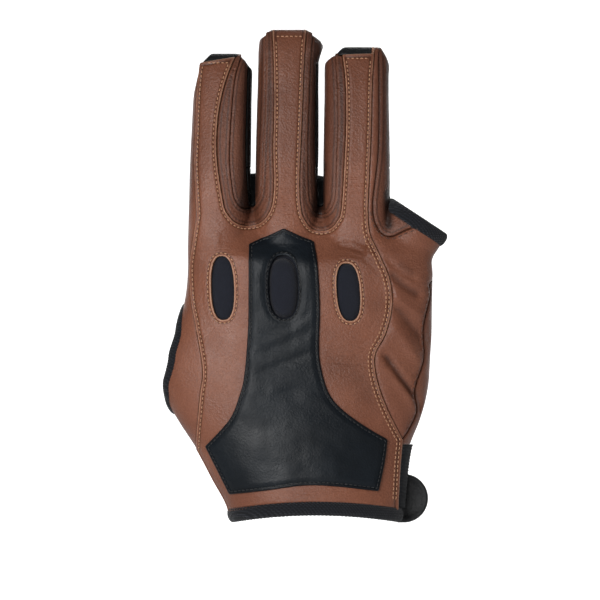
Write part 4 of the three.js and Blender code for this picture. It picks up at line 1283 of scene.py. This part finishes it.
def fork_row(line, tops, distance):
    """A row beside a fork, from one fingertip round to the next."""
    low = line[:, 1].argmin()
    keep = np.concatenate([line[:low][line[:low, 1] < tops[0]], line[low:][line[low:, 1] < tops[1]]])
    return shifted(keep, distance)


def tip_row(left, right, top):
    """A row across a strip's tip."""
    x0, x1 = [np.interp(-top, -line[:, 1], line[:, 0]) for line in (left, right)]
    return np.array([(x0 + INSET, top), (x1 - INSET, top)])


index_edges = (index_strip, spline(strip_edge("index", "strip_right")))
middle_edges = (spline(strip_edge("middle", "strip_left")), spline(strip_edge("middle", "strip_right")))
ring_edges = (spline(strip_edge("ring", "strip_left")), ring_strip)
stitches("stitches_fingers", [
    fork_row(outer_one, (index_top, middle_top), INSET),
    fork_row(outer_two, (middle_top, ring_top), INSET),
    tip_row(*index_edges, index_top), tip_row(*middle_edges, middle_top), tip_row(*ring_edges, ring_top),
], 0.12, brown_thread)
right_row = np.vstack([below(ring_strip, ring_top), right_seam, seam(SLIT_EDGE)[:2]])
right_rows = [shifted(right_row, INSET), shifted(below(right_row, 118), INSET + 1.2)]
stitches("stitches_right_seam", right_rows, 0.2, brown_thread)
left_row = np.vstack([below(index_strip, index_top), left_seam])
stitches("stitches_left_seam", [shifted(left_row[left_row[:, 1] > 22], -INSET)], 0.12, brown_thread)
stitches("stitches_side_seam", [shifted(below(side_seam, 92), 1.2)], 0.1, dark_thread, 2.8, 2.0, 0.2)
stitches("stitches_windows", [
    np.vstack([edge, edge[:1]]) for edge in (
        window_edge(WINDOWS["index"], 1.2), window_edge(WINDOWS["ring"], 1.2))],
    -0.05, brown_thread, 1.8, 1.25, 0.24)
stitches("stitches_patch", [
    shifted(even(patch_edge[::-1], 1.0), 1.2),
    np.vstack([window_edge(WINDOWS["middle"], RING_OUT), window_edge(WINDOWS["middle"], RING_OUT)[:1]])],
    1.3, black_thread, 1.8, 1.3, 0.22)
stitches("stitches_pinky_seam", [shifted(below(pinky_seam, 122), 1.2)], 0.12, dark_thread, 2.6, 1.8, 0.2)


# Stage: pale floor and backdrop, soft lights, and the camera at the photograph's angle
FLOOR_HALF, FLOOR_DOWN, BEND_Y, BEND = 6.0, 0.16, 4.0, 0.8


def backdrop():
    """A pale floor that bends up into a wall far behind the glove, where it glows."""
    bend = np.linspace(0, math.pi / 2, 14)[1:]
    depth = np.concatenate([
        np.linspace(-FLOOR_HALF, BEND_Y, 12), BEND_Y + BEND * np.sin(bend), np.full(6, BEND_Y + BEND)])
    height = np.concatenate([np.zeros(12), BEND - BEND * np.cos(bend), np.linspace(1.0, 2.6, 6)])
    across = np.linspace(-FLOOR_HALF, FLOOR_HALF, 9)
    points = [(x, y, z - FLOOR_DOWN) for y, z in zip(depth, height) for x in across]
    faces = []
    for r in range(len(depth) - 1):
        for k in range(len(across) - 1):
            a = r * len(across) + k
            faces.append((a, a + 1, a + 1 + len(across), a + len(across)))
    mesh = bpy.data.meshes.new("floor")
    mesh.from_pydata(points, [], faces)
    mesh.polygons.foreach_set("use_smooth", np.ones(len(faces), bool))
    made, tree, place, shader = material("pale_floor")
    tone = mix(tree, noise(tree, place, 3.0), (0.93, 0.93, 0.93, 1), (0.96, 0.96, 0.96, 1))
    behind = node(tree, "ShaderNodeSeparateXYZ", None, Vector=place).outputs[1]
    connect(tree, shader, Base_Color=tone, Roughness=0.9, Emission_Color=(1.0, 1.0, 1.0, 1.0),
            Emission_Strength=ranged(tree, behind, 1.5, 3.0, 0.0, 0.85))
    mesh.materials.append(made)
    floor = bpy.data.objects.new("floor", mesh)
    bpy.context.scene.collection.objects.link(floor)


backdrop()


def area_light(name, place, target, size, power):
    data = bpy.data.lights.new(name, "AREA")
    data.shape = "RECTANGLE"
    data.size, data.size_y = size
    data.energy = power
    made = bpy.data.objects.new(name, data)
    made.location = place
    made.rotation_euler = (Vector(target) - Vector(place)).to_track_quat("-Z", "Y").to_euler()
    bpy.context.scene.collection.objects.link(made)


GLOVE_MIDDLE = (-0.006, 0.0, 0.09)
area_light("key_light", (-0.5, -1.25, 0.26), GLOVE_MIDDLE, (0.62, 0.62), 20.6)
area_light("fill_light", (0.9, -0.9, 0.1), GLOVE_MIDDLE, (0.9, 0.9), 1.2)
area_light("back_light", (0.2, 0.9, 0.9), GLOVE_MIDDLE, (1.0, 0.6), 9.0)

world = bpy.data.worlds.new("soft_white")
world.use_nodes = True
world.node_tree.nodes["Background"].inputs[0].default_value = (1.0, 1.0, 1.0, 1.0)
world.node_tree.nodes["Background"].inputs[1].default_value = 0.22
bpy.context.scene.world = world
bpy.context.scene.view_settings.view_transform = "Standard"

PHOTO_MIDDLE = (-0.0064, 0.086)
PHOTO_WIDE = 0.24
FRONT_Y = -0.010
CAMERA_AWAY = 3.0
camera_data = bpy.data.cameras.new("camera")
camera_data.sensor_width = 36.0
camera_data.lens = 36.0 * CAMERA_AWAY / PHOTO_WIDE
camera = bpy.data.objects.new("camera", camera_data)
camera.location = (PHOTO_MIDDLE[0], FRONT_Y - CAMERA_AWAY, PHOTO_MIDDLE[1])
camera.rotation_euler = (math.pi / 2, 0, 0)
bpy.context.scene.collection.objects.link(camera)
bpy.context.scene.camera = camera
